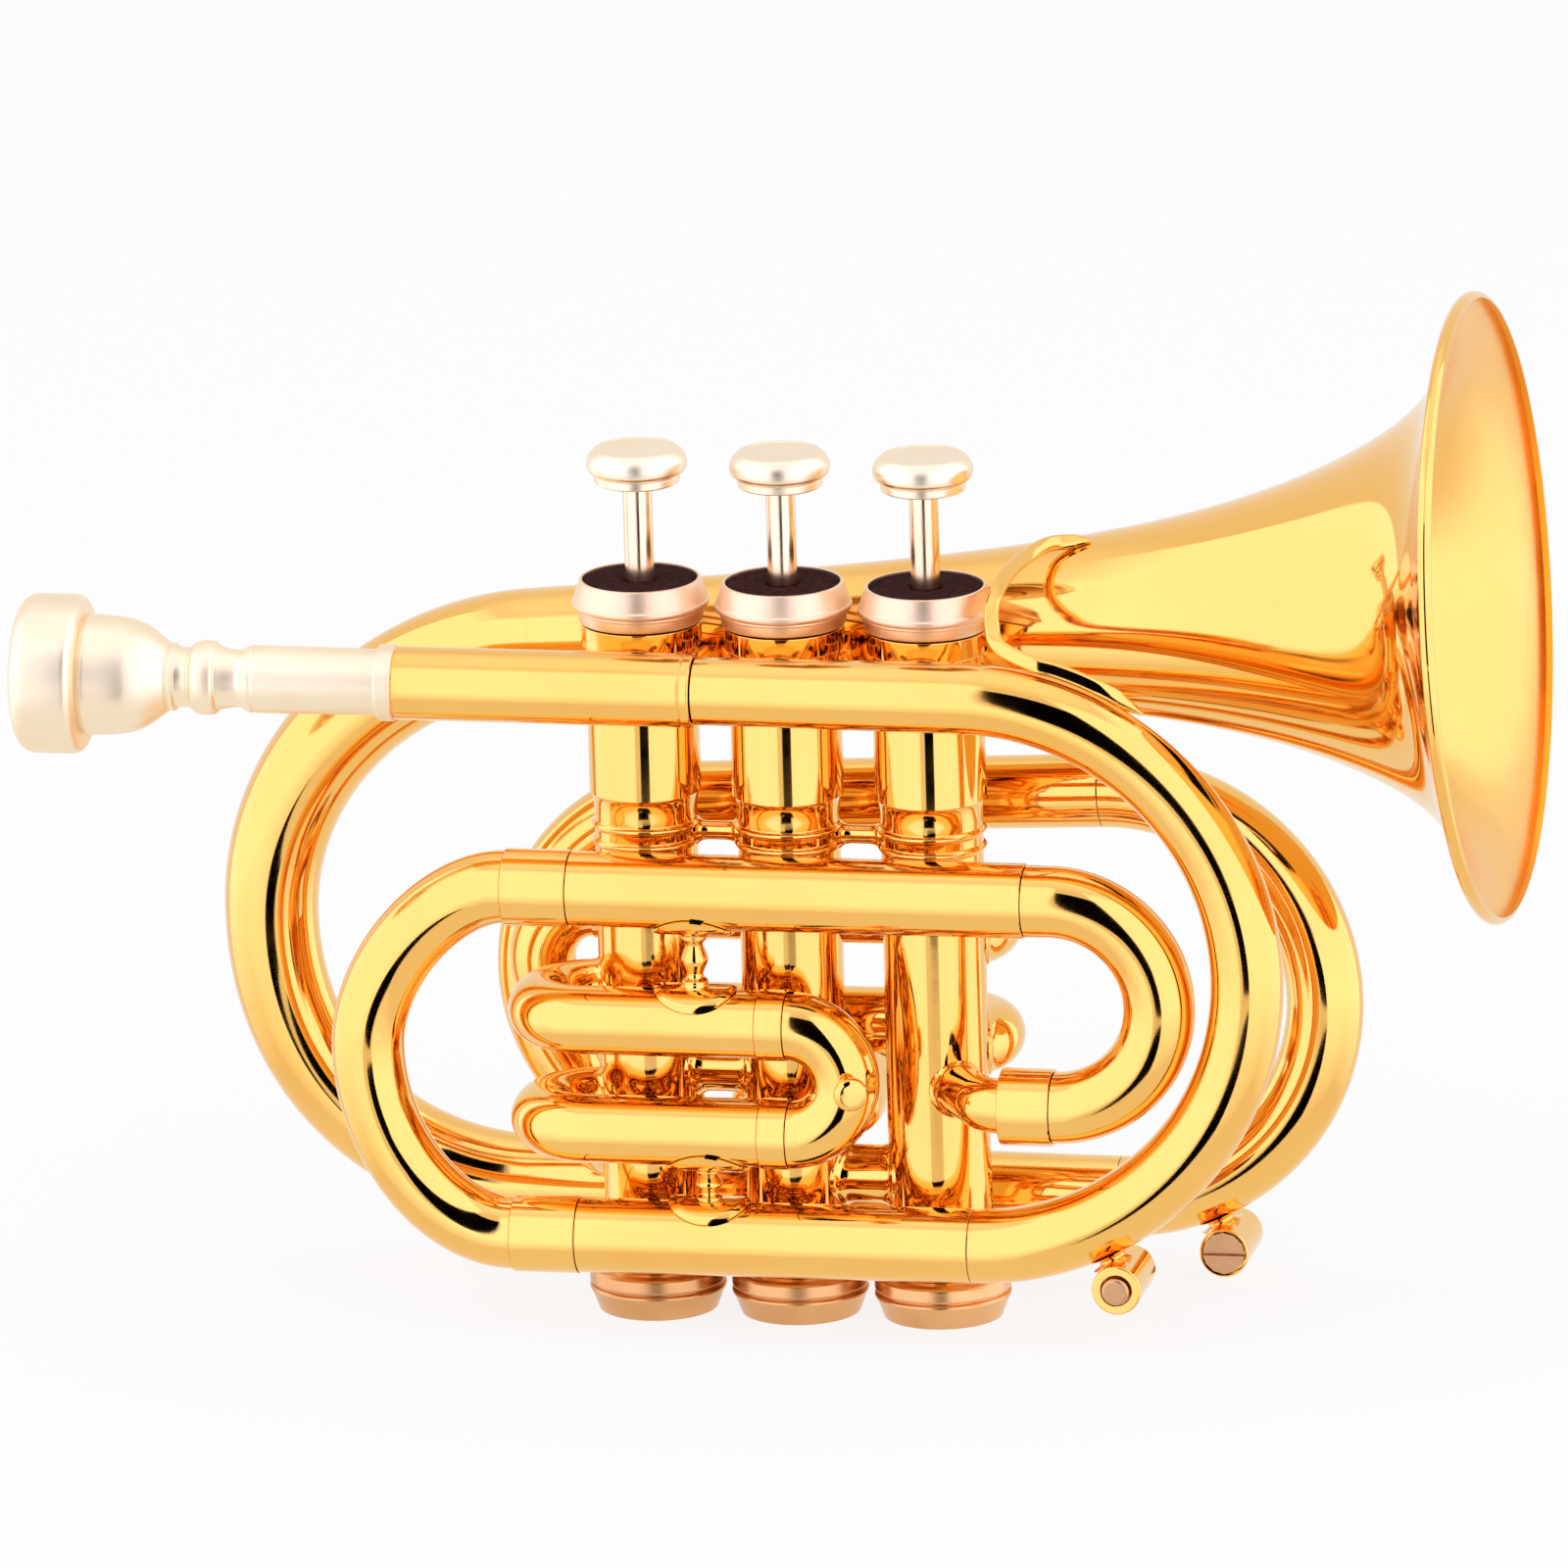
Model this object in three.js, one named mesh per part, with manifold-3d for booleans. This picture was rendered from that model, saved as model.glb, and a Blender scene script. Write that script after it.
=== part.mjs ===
// A pocket trumpet in B flat: three piston valves in a row, with the leadpipe, the slides and the bell
// wound tightly round them. Millimetres, +Z up, +X towards the bell, -Y towards the viewer.
// The row of valves stands on its three bottom caps.
import * as THREE from "three";
import { mergeVertices } from "three/addons/utils/BufferGeometryUtils.js";
import Module from "manifold-3d";

const wasm = await Module();
wasm.setup();

// Clearances and cutting lengths used all over
const seatGap = 0.3; // between two pieces that are soldered, screwed or seated together
const runningGap = 0.3; // between a slide or a piston and its bore, on the radius
const saddleGap = 0.42; // between a saddle and the tube that it wraps
const overrun = 3; // how far a cutter passes the wall that it cuts

// Facets
const tubeSides = 10;
const farTubeSides = 8;
const barrelSides = 12;
const bellSides = 24;
const smallSides = 8;
const portSides = 6;
const slideSides = 12;

// The valves: three barrels in the plane y = 0, valve 2 on the line x = 0
const valveNumbers = [1, 2, 3];
const valveSpacing = 26.2;
const pistonStroke = 16.5;
const casingRadius = 9.3;
const casingWall = 0.9;
const casingFoot = 2.4;
const casingAboveCap = 3.3; // how far the casing's thread reaches up into the top cap
const upperCasingRadius = 10.1;
const casingCollarRadius = 10.9;
const casingCollarHeight = 4.2;
const coveTop = 97;
const coveFoot = 93.4;
const beadRadius = 9.9;
const beadHeight = 1.5;
const beadPitch = 3.1;

// Bottom caps: turned cups that screw over the casing's foot, with an air hole
const bottomCapRadius = 12.4;
const bottomCapHeight = 8.4;
const bottomCapFloor = 1.8;
const airHoleRadius = 1.6;
const bottomCapHeightShares = [0, 0.42, 0.52, 0.59, 0.65, 0.92, 1];
const bottomCapRadiusShares = [0.875, 0.965, 1, 0.975, 1, 1, 0.93];

// Top caps: bevelled rings with a felt washer let into the top
const topCapRadius = 12.4;
const topCapFoot = 128.7;
const topCapHeight = 7.7;
const topCapShelfThickness = 1.4;
const topCapHeightShares = [0, 0.28, 0.32, 0.46, 0.52, 1];
const topCapRadiusShares = [0.9, 0.92, 0.95, 0.99, 1, 0.865];
const topFeltThickness = 2.2;
const topFeltRadius = 10.1;

// Pistons: ported bodies with a slotted spring barrel on top and a stem for the finger button
const pistonFoot = 20.2;
const pistonBodyHeight = 73;
const springBarrelHeight = 36;
const springBarrelWall = 1;
const pistonHeadThickness = 2.2;
const portRadius = 3.7;
const stemRadius = 2.65;
const stemAboveCap = 21.8;
const buttonAboveCap = 17.8;
const buttonRadius = 9.1;
const buttonHeight = 6.6;
const buttonSocketShare = 0.66;
const buttonHeightShares = [0, 0.24, 0.42, 0.58, 0.8, 0.97, 1];
const buttonRadiusShares = [0.85, 0.84, 0.96, 1, 0.945, 0.82, 0.7];

// Valve guides and springs inside the casings
const guideHeight = 97.6;
const guideThickness = 2.4;
const guideDiscRadius = 5.9;
const guideKeyWidth = 3.6;
const springRadius = 4.4;
const springWireRadius = 0.5;
const springCurls = 3;
const stepsPerCurl = 6;
const springSides = 5;

// Where the wind enters and leaves each valve: heights above the ground
const inletPortHeight = 44.4;
const firstSlideUpperHeight = 58.3;
const firstSlideSpan = 20.3;
const firstSlideLowerHeight = firstSlideUpperHeight - firstSlideSpan;
const secondSlideHeight = 36;
const thirdSlideUpperHeight = 70;
const thirdSlideLowerHeight = 49.5;
const tailPortHeight = 27;
const linkOneTwoHeight = 46;
const linkTwoThreeHeight = 26;
const linkRadius = 5.2;
const strutRadius = 1.7;

// Directions of the ports round a valve, in degrees from +X towards +Y
const inletPortTurn = -55;
const firstSlideTurn = 180;
const secondSlideTurn = 45;
const thirdSlideTurn = 45;
const tailPortTurn = 135;

// The near plane: leadpipe, main tuning slide, inlet bow and first valve slide lie in it
const nearPlane = -17.5;
const tubeWall = 0.5;
const leadpipeHeight = 120.3;
const leadpipeLoopDrop = 102.3; // from the leadpipe down to the lower slide tube
const leadpipeBowStart = 35.5;
const leadpipeStartRadius = 6.1;
const slideTubeRadius = 6.8;
const slideFerruleRadius = 7;
const ferruleRadius = 6.45;

// Mouthpiece receiver and mouthpiece
const receiverMouth = -70.9;
const receiverLength = 56;
const receiverRadius = 6.65;
const receiverSocketDepth = 23.3;
const receiverLipRadius = 6.95;
const receiverLipLength = 3.1;
const receiverRingRadius = 6.9;
const receiverRingLength = 1.8;
const mouthpieceRimPlane = -136.9;
const mouthpieceLength = 87;
const mouthpieceRimRadius = 14.4;
const mouthpieceShankRadius = 6;
const mouthpieceShankEndRadius = 5.3;
const mouthpieceCupRadius = 8.3;
const mouthpieceThroatRadius = 1.85;
const mouthpieceBackboreRadius = 4.3;
const mouthpieceTravel = 18;

// Main tuning slide: the bow at the left end of the near plane
const upperSlideTubeHeight = 82.8;
const slideTubeLeft = -36.6;
const upperSlideTubeRight = 46.4;
const slideFerruleLength = 11.6;
const crookRadius = 6.6;
const crookReach = 26.1; // from the ferrules to the far side of the bow, on the centre line
const crookMiddle = 52.2; // height of that far side
const tuningLegLength = 40;

// Inlet bow and elbow, from the upper slide tube down to valve 3
const inletBowRadius = 6.5;
const inletBowStart = 51;
const inletBowReach = 19.5;
const inletFerruleLength = 9.2;
const inletElbowBend = 5.4;
const inletElbowRadius = 5;
const inletElbowEndRadius = 4.4;

// First valve slide
const firstSlideTubeRadius = 6.2;
const firstSlideTubeEnd = -2.9;
const firstSlideFerruleLength = 4.8;
const firstSlideLegLength = 24;
const knobRadius = 3.1;
const knobHeight = 3.4;
const knobTurn = 17.5; // degrees from straight ahead towards the right

// Second valve slide, hidden behind valve 2
const secondSlideRadius = 5.5;
const secondSlideHalfSpan = 8.5;
const secondSlideTubeEnd = 26;
const secondSlideFerruleLength = 4;
const secondSlideCrookStart = 34;
const secondSlideLegLength = 13;

// Third valve slide, hidden behind the row
const thirdSlidePlane = 18.5;
const thirdSlideRadius = 6;
const thirdSlideBend = 7.5;
const thirdSlideTubeEnd = -34;
const thirdSlideFerruleLength = 5.2;
const thirdSlideLegLength = 40;

// Tail: from valve 1 up the left loop, behind the valves, round the right bow and back
const tailPlane = 31.5;
const tailStartRadius = 6.1;
const tailLoopX = -22.1;
const tailLoopHeight = 54.4;
const tailLoopBend = 32.4;
const tailLoopJoinTurn = 215;
const tailPortReach = 12; // length of the pull at each end of the sweep out of the port
const tailBowX = 53.4;
const tailBowHeight = 52;
const tailBowBend = 38.1;

// Bell: tapered stem, an egg-shaped left bow and the flare
const bellPlane = 24.6;
const bellBowFootX = -55.3;
const bellBowLeft = -101.7;
const bellBowMiddle = 63.8; // height of the bow's far side
const bellBowTopX = -50.5;
const bellAxisHeight = 120.15; // where the bell's axis passes valve 2
const bellPitch = 3.67;
const bellReach = 174; // from the top of the left bow to the rim, along the axis
const bellRimRadius = 57.1;
const bellThroatRadius = 13.7;
const bellFlareRise = 30;
const bellFlareLength = 35.3;
const bellLipLength = 3.65;
const bellBowEndRadius = 9.6;
const bellBowLeftRadius = 8.5;
const bellBowStartRadius = 8.2;
const bellStemStartRadius = 7.3;
const bellWall = 0.6;
const rimWireRadius = 1.3;

// Braces
const braceWidth = 3;
const braceThickness = 2;
const postTurnedRadius = 2.5;
const postFlangeLength = 15;
const postFlangeWidth = 13.2;
const postFlangeThickness = 0.9;
const upperPostX = -14.4;
const lowerPostX = -12.8;

// Water keys: small cross-bored cylinders under the lowest tubes
const waterKeyRadius = 4.5;
const waterKeyLength = 15;
const waterKeyBoreRadius = 3.5;
const waterKeyLipRadius = 2.85;
const waterKeyLipLength = 1.8;
const nearWaterKeyStandOff = 0.35;
const farWaterKeyStandOff = 0.35;
const waterKeySaddleWidth = 5;
const plungerHeadRadius = 2.5;
const plungerLength = 8;
const plungerCollarShare = 0.45;
const plungerStandOut = 1.2;
const plungerTravel = 2.2;
const plugRadius = 3.85;
const plugHeadLength = 1.6;
const plugLength = 4;
const plugSlotWidth = 0.9;
const plugSlotDepth = 0.8;
const nearWaterKeyX = 62.8;
const farWaterKeyX = 73.2;

// Materials
const lacquer = { color: 0xf2b045, roughness: 0.18, metalness: 1 };
const silverPlate = { color: 0xe6d8bd, roughness: 0.22, metalness: 1 };
const copperBrown = { color: 0xb98262, roughness: 0.38, metalness: 1 };
const springSteel = { color: 0x9a9c9f, roughness: 0.4, metalness: 1 };
const nickel = { color: 0xbfb9ac, roughness: 0.3, metalness: 1 };
const felt = { color: 0x2a1512, roughness: 0.95, metalness: 0 };

const trumpet = new THREE.Group();
const halfTurn = Math.PI;
const quarterTurn = Math.PI / 2;
const radians = THREE.MathUtils.degToRad;
const valveX = (number) => (number - 2) * valveSpacing;

// Heights that follow from the top cap's
const casingTop = topCapFoot + casingAboveCap;
const topCapTop = topCapFoot + topCapHeight;
const stemTop = topCapTop + stemAboveCap;
const buttonFoot = topCapTop + buttonAboveCap;

// Geometry with shared corners and without the empty faces that a revolve leaves on its axis
function welded(geometry) {
  const bare = geometry.index ? geometry.toNonIndexed() : geometry.clone();
  bare.deleteAttribute("normal");
  bare.deleteAttribute("uv");
  const merged = mergeVertices(bare, 1e-4);
  const source = merged.index.array;
  const kept = [];
  for (let i = 0; i < source.length; i += 3) {
    const [a, b, c] = [source[i], source[i + 1], source[i + 2]];
    if (a !== b && b !== c && c !== a) kept.push(a, b, c);
  }
  merged.setIndex(kept);
  return merged;
}

function solid(geometry) {
  const shape = welded(geometry);
  return new wasm.Manifold(
    new wasm.Mesh({
      numProp: 3,
      vertProperties: new Float32Array(shape.attributes.position.array),
      triVerts: new Uint32Array(shape.index.array),
    }),
  );
}

function geometryOf(body) {
  const mesh = body.getMesh();
  const geometry = new THREE.BufferGeometry();
  geometry.setAttribute("position", new THREE.BufferAttribute(mesh.vertProperties, mesh.numProp));
  geometry.setIndex(new THREE.BufferAttribute(mesh.triVerts, 1));
  return geometry;
}

function addNode(name, shape, finish) {
  const geometry = shape.isBufferGeometry ? welded(shape) : geometryOf(shape);
  geometry.computeVertexNormals();
  const mesh = new THREE.Mesh(geometry, new THREE.MeshStandardMaterial(finish));
  mesh.name = name;
  trumpet.add(mesh);
  return mesh;
}

// A turned piece: rows of [radius, height] walked anticlockwise, up the outside. It closes on the axis or on itself.
function turned(rows, sides) {
  const points = rows.map(([radius, height]) => new THREE.Vector2(radius, height));
  const onAxis = rows[0][0] === 0 && rows[rows.length - 1][0] === 0;
  if (!onAxis) points.push(points[0].clone());
  return new THREE.LatheGeometry(points, sides).rotateX(quarterTurn);
}

const rowsFromShares = (heightShares, radiusShares, height, radius, foot = 0) =>
  heightShares.map((share, i) => [radiusShares[i] * radius, foot + share * height]);

const turnedAlongX = (rows, sides) => turned(rows, sides).rotateY(quarterTurn);

// A plain rod from one point to another, for cutting and joining
function rod(from, to, radius, sides = smallSides) {
  const direction = to.clone().sub(from);
  const shape = new THREE.CylinderGeometry(radius, radius, direction.length(), sides);
  const turn = new THREE.Quaternion().setFromUnitVectors(new THREE.Vector3(0, 1, 0), direction.clone().normalize());
  const middle = from.clone().add(to).multiplyScalar(0.5);
  return shape.applyQuaternion(turn).translate(middle.x, middle.y, middle.z);
}

// An arc in an upright plane, turning from one angle to another, which may drift from one y to another
class UprightArc extends THREE.Curve {
  constructor(centre, radiusX, radiusZ, fromTurn, toTurn, endY = centre.y) {
    super();
    Object.assign(this, { centre, radiusX, radiusZ, fromTurn, toTurn, endY });
  }
  getPoint(t, target = new THREE.Vector3()) {
    const turn = radians(THREE.MathUtils.lerp(this.fromTurn, this.toTurn, t));
    const drift = THREE.MathUtils.smoothstep(t, 0, 1);
    return target.set(
      this.centre.x + this.radiusX * Math.cos(turn),
      THREE.MathUtils.lerp(this.centre.y, this.endY, drift),
      this.centre.z + this.radiusZ * Math.sin(turn),
    );
  }
  getTangent(t, target = new THREE.Vector3()) {
    const sweep = radians(this.toTurn - this.fromTurn);
    const turn = radians(this.fromTurn) + sweep * t;
    return target.set(
      -this.radiusX * Math.sin(turn) * sweep,
      (this.endY - this.centre.y) * 6 * t * (1 - t),
      this.radiusZ * Math.cos(turn) * sweep,
    ).normalize();
  }
}

// A quarter of a bow between two points, shaped by a pull at each, which can also be run backwards
class QuarterBow extends THREE.CubicBezierCurve3 {
  reversed() {
    return new QuarterBow(this.v3, this.v2, this.v1, this.v0);
  }
}

// An arc in a level plane
class LevelArc extends THREE.Curve {
  constructor(centre, radius, fromTurn, toTurn) {
    super();
    Object.assign(this, { centre, radius, fromTurn, toTurn });
  }
  getPoint(t, target = new THREE.Vector3()) {
    const turn = radians(THREE.MathUtils.lerp(this.fromTurn, this.toTurn, t));
    return target.set(
      this.centre.x + this.radius * Math.cos(turn),
      this.centre.y + this.radius * Math.sin(turn),
      this.centre.z,
    );
  }
  getTangent(t, target = new THREE.Vector3()) {
    const way = Math.sign(this.toTurn - this.fromTurn);
    const turn = radians(THREE.MathUtils.lerp(this.fromTurn, this.toTurn, t));
    return target.set(-Math.sin(turn) * way, Math.cos(turn) * way, 0);
  }
}

// A tube, drawn through stretches one after another: each has its curve, its number of steps, and its outer radius and
// bore at both ends. A jump of radius between two stretches makes a shoulder.
function drawnTube(stretches, sides = tubeSides) {
  const rings = [];
  for (const { curve, steps, outer, bore } of stretches) {
    for (let step = 0; step <= steps; step += 1) {
      const share = step / steps;
      rings.push({
        centre: curve.getPoint(share),
        tangent: curve.getTangent(share),
        outer: THREE.MathUtils.lerp(outer[0], outer[1], share),
        bore: THREE.MathUtils.lerp(bore[0], bore[1], share),
      });
    }
  }
  const kept = rings.filter((ring, i) => {
    const last = rings[i - 1];
    if (!last) return true;
    const same = last.centre.distanceTo(ring.centre) < 1e-6;
    return !(same && Math.abs(last.outer - ring.outer) < 1e-6 && Math.abs(last.bore - ring.bore) < 1e-6);
  });
  const helper = Math.abs(kept[0].tangent.y) < 0.9 ? new THREE.Vector3(0, 1, 0) : new THREE.Vector3(0, 0, 1);
  const firstSide = new THREE.Vector3().crossVectors(helper, kept[0].tangent).normalize();
  const positions = [];
  const ringStarts = { outer: [], bore: [] };
  for (const wall of ["outer", "bore"]) {
    const side = firstSide.clone();
    kept.forEach((ring, index) => {
      const last = kept[index - 1];
      if (last && sameCentre(last, ring) && last[wall] === ring[wall]) {
        ringStarts[wall].push(ringStarts[wall][index - 1]);
        return;
      }
      ringStarts[wall].push(positions.length / 3);
      side.addScaledVector(ring.tangent, -side.dot(ring.tangent)).normalize();
      const other = new THREE.Vector3().crossVectors(ring.tangent, side);
      for (let i = 0; i < sides; i += 1) {
        const turn = (2 * Math.PI * i) / sides;
        const point = ring.centre.clone();
        point.addScaledVector(side, ring[wall] * Math.cos(turn));
        point.addScaledVector(other, ring[wall] * Math.sin(turn));
        positions.push(point.x, point.y, point.z);
      }
    });
  }
  const faces = [];
  const quad = (a, b, c, d) => faces.push(a, b, c, a, c, d);
  const at = (wall, ring, i) => ringStarts[wall][ring] + (i % sides);
  for (let ring = 0; ring < kept.length - 1; ring += 1) {
    const next = ring + 1;
    for (let i = 0; i < sides; i += 1) {
      if (ringStarts.outer[ring] !== ringStarts.outer[next]) {
        quad(at("outer", ring, i), at("outer", ring, i + 1), at("outer", next, i + 1), at("outer", next, i));
      }
      if (ringStarts.bore[ring] !== ringStarts.bore[next]) {
        quad(at("bore", ring, i + 1), at("bore", ring, i), at("bore", next, i), at("bore", next, i + 1));
      }
    }
  }
  const end = kept.length - 1;
  for (let i = 0; i < sides; i += 1) {
    quad(at("outer", 0, i + 1), at("outer", 0, i), at("bore", 0, i), at("bore", 0, i + 1));
    quad(at("outer", end, i), at("outer", end, i + 1), at("bore", end, i + 1), at("bore", end, i));
  }
  const geometry = new THREE.BufferGeometry();
  geometry.setAttribute("position", new THREE.BufferAttribute(new Float32Array(positions), 3));
  geometry.setIndex(faces);
  return geometry;
}

const sameCentre = (a, b) => a.centre.distanceTo(b.centre) < 1e-6;
const line = (from, to) => new THREE.LineCurve3(from, to);
const stretch = (curve, steps, radius, endRadius = radius, wall = tubeWall) => ({
  curve,
  steps,
  outer: [radius, endRadius],
  bore: [radius - wall, endRadius - wall],
});

const boreOf = (radius) => radius - tubeWall;
const legRadiusIn = (radius) => boreOf(radius) - runningGap;

// A straight tube along X
const straightTube = (fromX, toX, y, z, radius, sides = tubeSides) =>
  drawnTube([stretch(line(new THREE.Vector3(fromX, y, z), new THREE.Vector3(toX, y, z)), 1, radius)], sides);

// An inner leg with its ferrule, in the near plane: three places along X, and the radius of each of the two stretches
function slideLeg(places, height, radii, sides = slideSides) {
  const bore = boreOf(Math.min(...radii));
  const at = (x) => new THREE.Vector3(x, nearPlane, height);
  const stretches = radii.map((radius, i) => ({
    curve: line(at(places[i]), at(places[i + 1])),
    steps: 1,
    outer: [radius, radius],
    bore: [bore, bore],
  }));
  return drawnTube(stretches, sides);
}

// The space that a casing takes, with its gap, for trimming the tubes that are brazed to it
function casingSpace(number) {
  const rows = [
    [0, casingFoot],
    [casingRadius + seatGap, casingFoot],
    [casingRadius + seatGap, coveFoot],
    [0, coveFoot],
  ];
  return solid(turned(rows, barrelSides).translate(valveX(number), 0, 0));
}

const aroundValve = (number, turn, distance, height) =>
  new THREE.Vector3(
    valveX(number) + distance * Math.cos(radians(turn)),
    distance * Math.sin(radians(turn)),
    height,
  );

// Ports of each valve: [direction, height]. The passage at rest joins the first two; pressed, the others join up.
const restPassages = {
  1: [[0, linkOneTwoHeight], [tailPortTurn, tailPortHeight]],
  2: [[0, linkTwoThreeHeight], [180, linkOneTwoHeight]],
  3: [[inletPortTurn, inletPortHeight], [180, linkTwoThreeHeight]],
};
const pressedPassages = {
  1: [
    [[0, linkOneTwoHeight], [firstSlideTurn, firstSlideUpperHeight]],
    [[firstSlideTurn, firstSlideLowerHeight], [tailPortTurn, tailPortHeight]],
  ],
  2: [
    [[0, linkTwoThreeHeight], [secondSlideTurn, secondSlideHeight]],
    [[180 - secondSlideTurn, secondSlideHeight], [180, linkOneTwoHeight]],
  ],
  3: [
    [[inletPortTurn, inletPortHeight], [thirdSlideTurn, thirdSlideUpperHeight]],
    [[thirdSlideTurn, thirdSlideLowerHeight], [180, linkTwoThreeHeight]],
  ],
};
const casingPorts = Object.fromEntries(
  valveNumbers.map((number) => [number, [...restPassages[number], ...pressedPassages[number].flat()]]),
);

// Casings: drawn barrels with a slimmer foot, a pair of turned beads, and the links brazed between them
const linkHeights = { 1: linkOneTwoHeight, 2: linkTwoThreeHeight };

function casing(number) {
  const beadFoot = coveFoot - 2 * beadPitch;
  const collarTop = topCapFoot - seatGap;
  const outline = [
    [0, casingFoot],
    [casingRadius, casingFoot],
    [casingRadius, beadFoot],
    [beadRadius, beadFoot + beadHeight / 2],
    [casingRadius, beadFoot + beadHeight],
    [casingRadius, beadFoot + beadPitch],
    [beadRadius, beadFoot + beadPitch + beadHeight / 2],
    [casingRadius, beadFoot + beadPitch + beadHeight],
    [casingRadius, coveFoot],
    [upperCasingRadius, coveTop],
    [upperCasingRadius, collarTop - casingCollarHeight],
    [casingCollarRadius, collarTop - casingCollarHeight],
    [casingCollarRadius, collarTop],
    [upperCasingRadius, collarTop],
    [upperCasingRadius, casingTop],
    [0, casingTop],
  ];
  let body = solid(turned(outline, barrelSides));
  const outwards = new THREE.Vector3(1, 0, 0);
  if (linkHeights[number]) {
    const height = linkHeights[number];
    const reach = valveSpacing - casingRadius - seatGap;
    const link = rod(new THREE.Vector3(0, 0, height), outwards.clone().multiplyScalar(reach).setZ(height), linkRadius);
    const strutHeight = beadFoot + (beadHeight + beadPitch) / 2;
    const strutReach = valveSpacing - beadRadius - seatGap;
    const strut = rod(
      new THREE.Vector3(0, 0, strutHeight),
      outwards.clone().multiplyScalar(strutReach).setZ(strutHeight),
      strutRadius,
    );
    body = body.add(solid(link)).add(solid(strut));
    body = body.subtract(casingSpace(3));
    const linkBore = rod(
      new THREE.Vector3(0, 0, height),
      outwards.clone().multiplyScalar(valveSpacing).setZ(height),
      portRadius,
      portSides,
    );
    body = body.subtract(solid(linkBore));
  }
  const boreRadius = casingRadius - casingWall;
  const bore = turned(
    [
      [0, casingFoot - overrun],
      [boreRadius, casingFoot - overrun],
      [boreRadius, casingTop + overrun],
      [0, casingTop + overrun],
    ],
    barrelSides,
  );
  body = body.subtract(solid(bore));
  for (const [turn, height] of casingPorts[number]) {
    const port = rod(
      new THREE.Vector3(0, 0, height),
      aroundValve(2, turn, casingRadius + overrun, height),
      portRadius,
      portSides,
    );
    if (!(turn === 0 && linkHeights[number] === height)) body = body.subtract(solid(port));
  }
  addNode(`valve_${number}_casing`, body.translate([valveX(number), 0, 0]), lacquer);
}

function bottomCap(number) {
  const bore = casingRadius + seatGap;
  const outline = rowsFromShares(bottomCapHeightShares, bottomCapRadiusShares, bottomCapHeight, bottomCapRadius);
  const inside = [
    [bore, bottomCapHeight],
    [bore, bottomCapFloor],
    [airHoleRadius, bottomCapFloor],
    [airHoleRadius, 0],
  ];
  const shape = turned([...outline, ...inside], barrelSides).translate(valveX(number), 0, 0);
  addNode(`valve_${number}_bottom_cap`, shape, copperBrown);
}

// The cap's shelf carries the felt; the stem passes through both
const shelfTop = topCapTop - topFeltThickness - seatGap;

function topCap(number) {
  const feltSeat = topFeltRadius + seatGap;
  const bore = upperCasingRadius + seatGap;
  const outline = rowsFromShares(topCapHeightShares, topCapRadiusShares, topCapHeight, topCapRadius, topCapFoot);
  const inside = [
    [feltSeat, topCapTop],
    [feltSeat, shelfTop],
    [stemRadius + 2 * runningGap, shelfTop],
    [stemRadius + 2 * runningGap, shelfTop - topCapShelfThickness],
    [bore, shelfTop - topCapShelfThickness],
    [bore, topCapFoot],
  ];
  addNode(
    `valve_${number}_top_cap`,
    turned([...outline, ...inside], barrelSides).translate(valveX(number), 0, 0),
    silverPlate,
  );
}

function topFelt(number) {
  const foot = shelfTop + seatGap;
  const rows = [
    [stemRadius + runningGap, foot],
    [topFeltRadius, foot],
    [topFeltRadius, foot + topFeltThickness - seatGap],
    [stemRadius + runningGap, foot + topFeltThickness - seatGap],
  ];
  addNode(`valve_${number}_top_felt`, turned(rows, barrelSides).translate(valveX(number), 0, 0), felt);
}

// Pistons
const pistonRadius = casingRadius - casingWall - runningGap;
const pistonBodyTop = pistonFoot + pistonBodyHeight;
const springBarrelTop = pistonBodyTop + springBarrelHeight;

function piston(number) {
  const barrelBore = pistonRadius - springBarrelWall;
  const headFoot = springBarrelTop - pistonHeadThickness;
  const outer = [
    [0, pistonFoot],
    [pistonRadius, pistonFoot],
    [pistonRadius, springBarrelTop],
    [stemRadius, springBarrelTop],
    [stemRadius, stemTop],
    [0, stemTop],
  ];
  const hollow = [
    [0, pistonBodyTop],
    [barrelBore, pistonBodyTop],
    [barrelBore, headFoot],
    [0, headFoot],
  ];
  let body = solid(turned(outer, barrelSides)).subtract(solid(turned(hollow, barrelSides)));
  const slotFoot = guideHeight - 2 * runningGap;
  const slotTop = guideHeight + guideThickness + pistonStroke + 2 * runningGap;
  const slot = new THREE.BoxGeometry(
    2 * (pistonRadius + overrun),
    guideKeyWidth + 2 * runningGap,
    slotTop - slotFoot,
  ).translate(0, 0, (slotFoot + slotTop) / 2);
  body = body.subtract(solid(slot));
  const passages = [
    { ends: restPassages[number], lift: 0 },
    ...pressedPassages[number].map((ends) => ({ ends, lift: pistonStroke })),
  ];
  for (const { ends, lift } of passages) {
    const [start, end] = ends.map(([turn, height]) => aroundValve(2, turn, pistonRadius, height + lift));
    const beyond = end.clone().sub(start).normalize().multiplyScalar(overrun);
    const passage = rod(start.clone().sub(beyond), end.clone().add(beyond), portRadius, portSides);
    body = body.subtract(solid(passage));
  }
  addNode(`valve_${number}_piston`, body.translate([valveX(number), 0, 0]), nickel);
}

function valveGuide(number) {
  const disc = turned(
    [
      [0, guideHeight],
      [guideDiscRadius, guideHeight],
      [guideDiscRadius, guideHeight + guideThickness],
      [0, guideHeight + guideThickness],
    ],
    smallSides,
  );
  const key = new THREE.BoxGeometry(2 * (pistonRadius - 1.5 * runningGap), guideKeyWidth, guideThickness);
  const body = solid(disc).add(solid(key.translate(0, 0, guideHeight + guideThickness / 2)));
  addNode(`valve_${number}_guide`, body.translate([valveX(number), 0, 0]), nickel);
}

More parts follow.
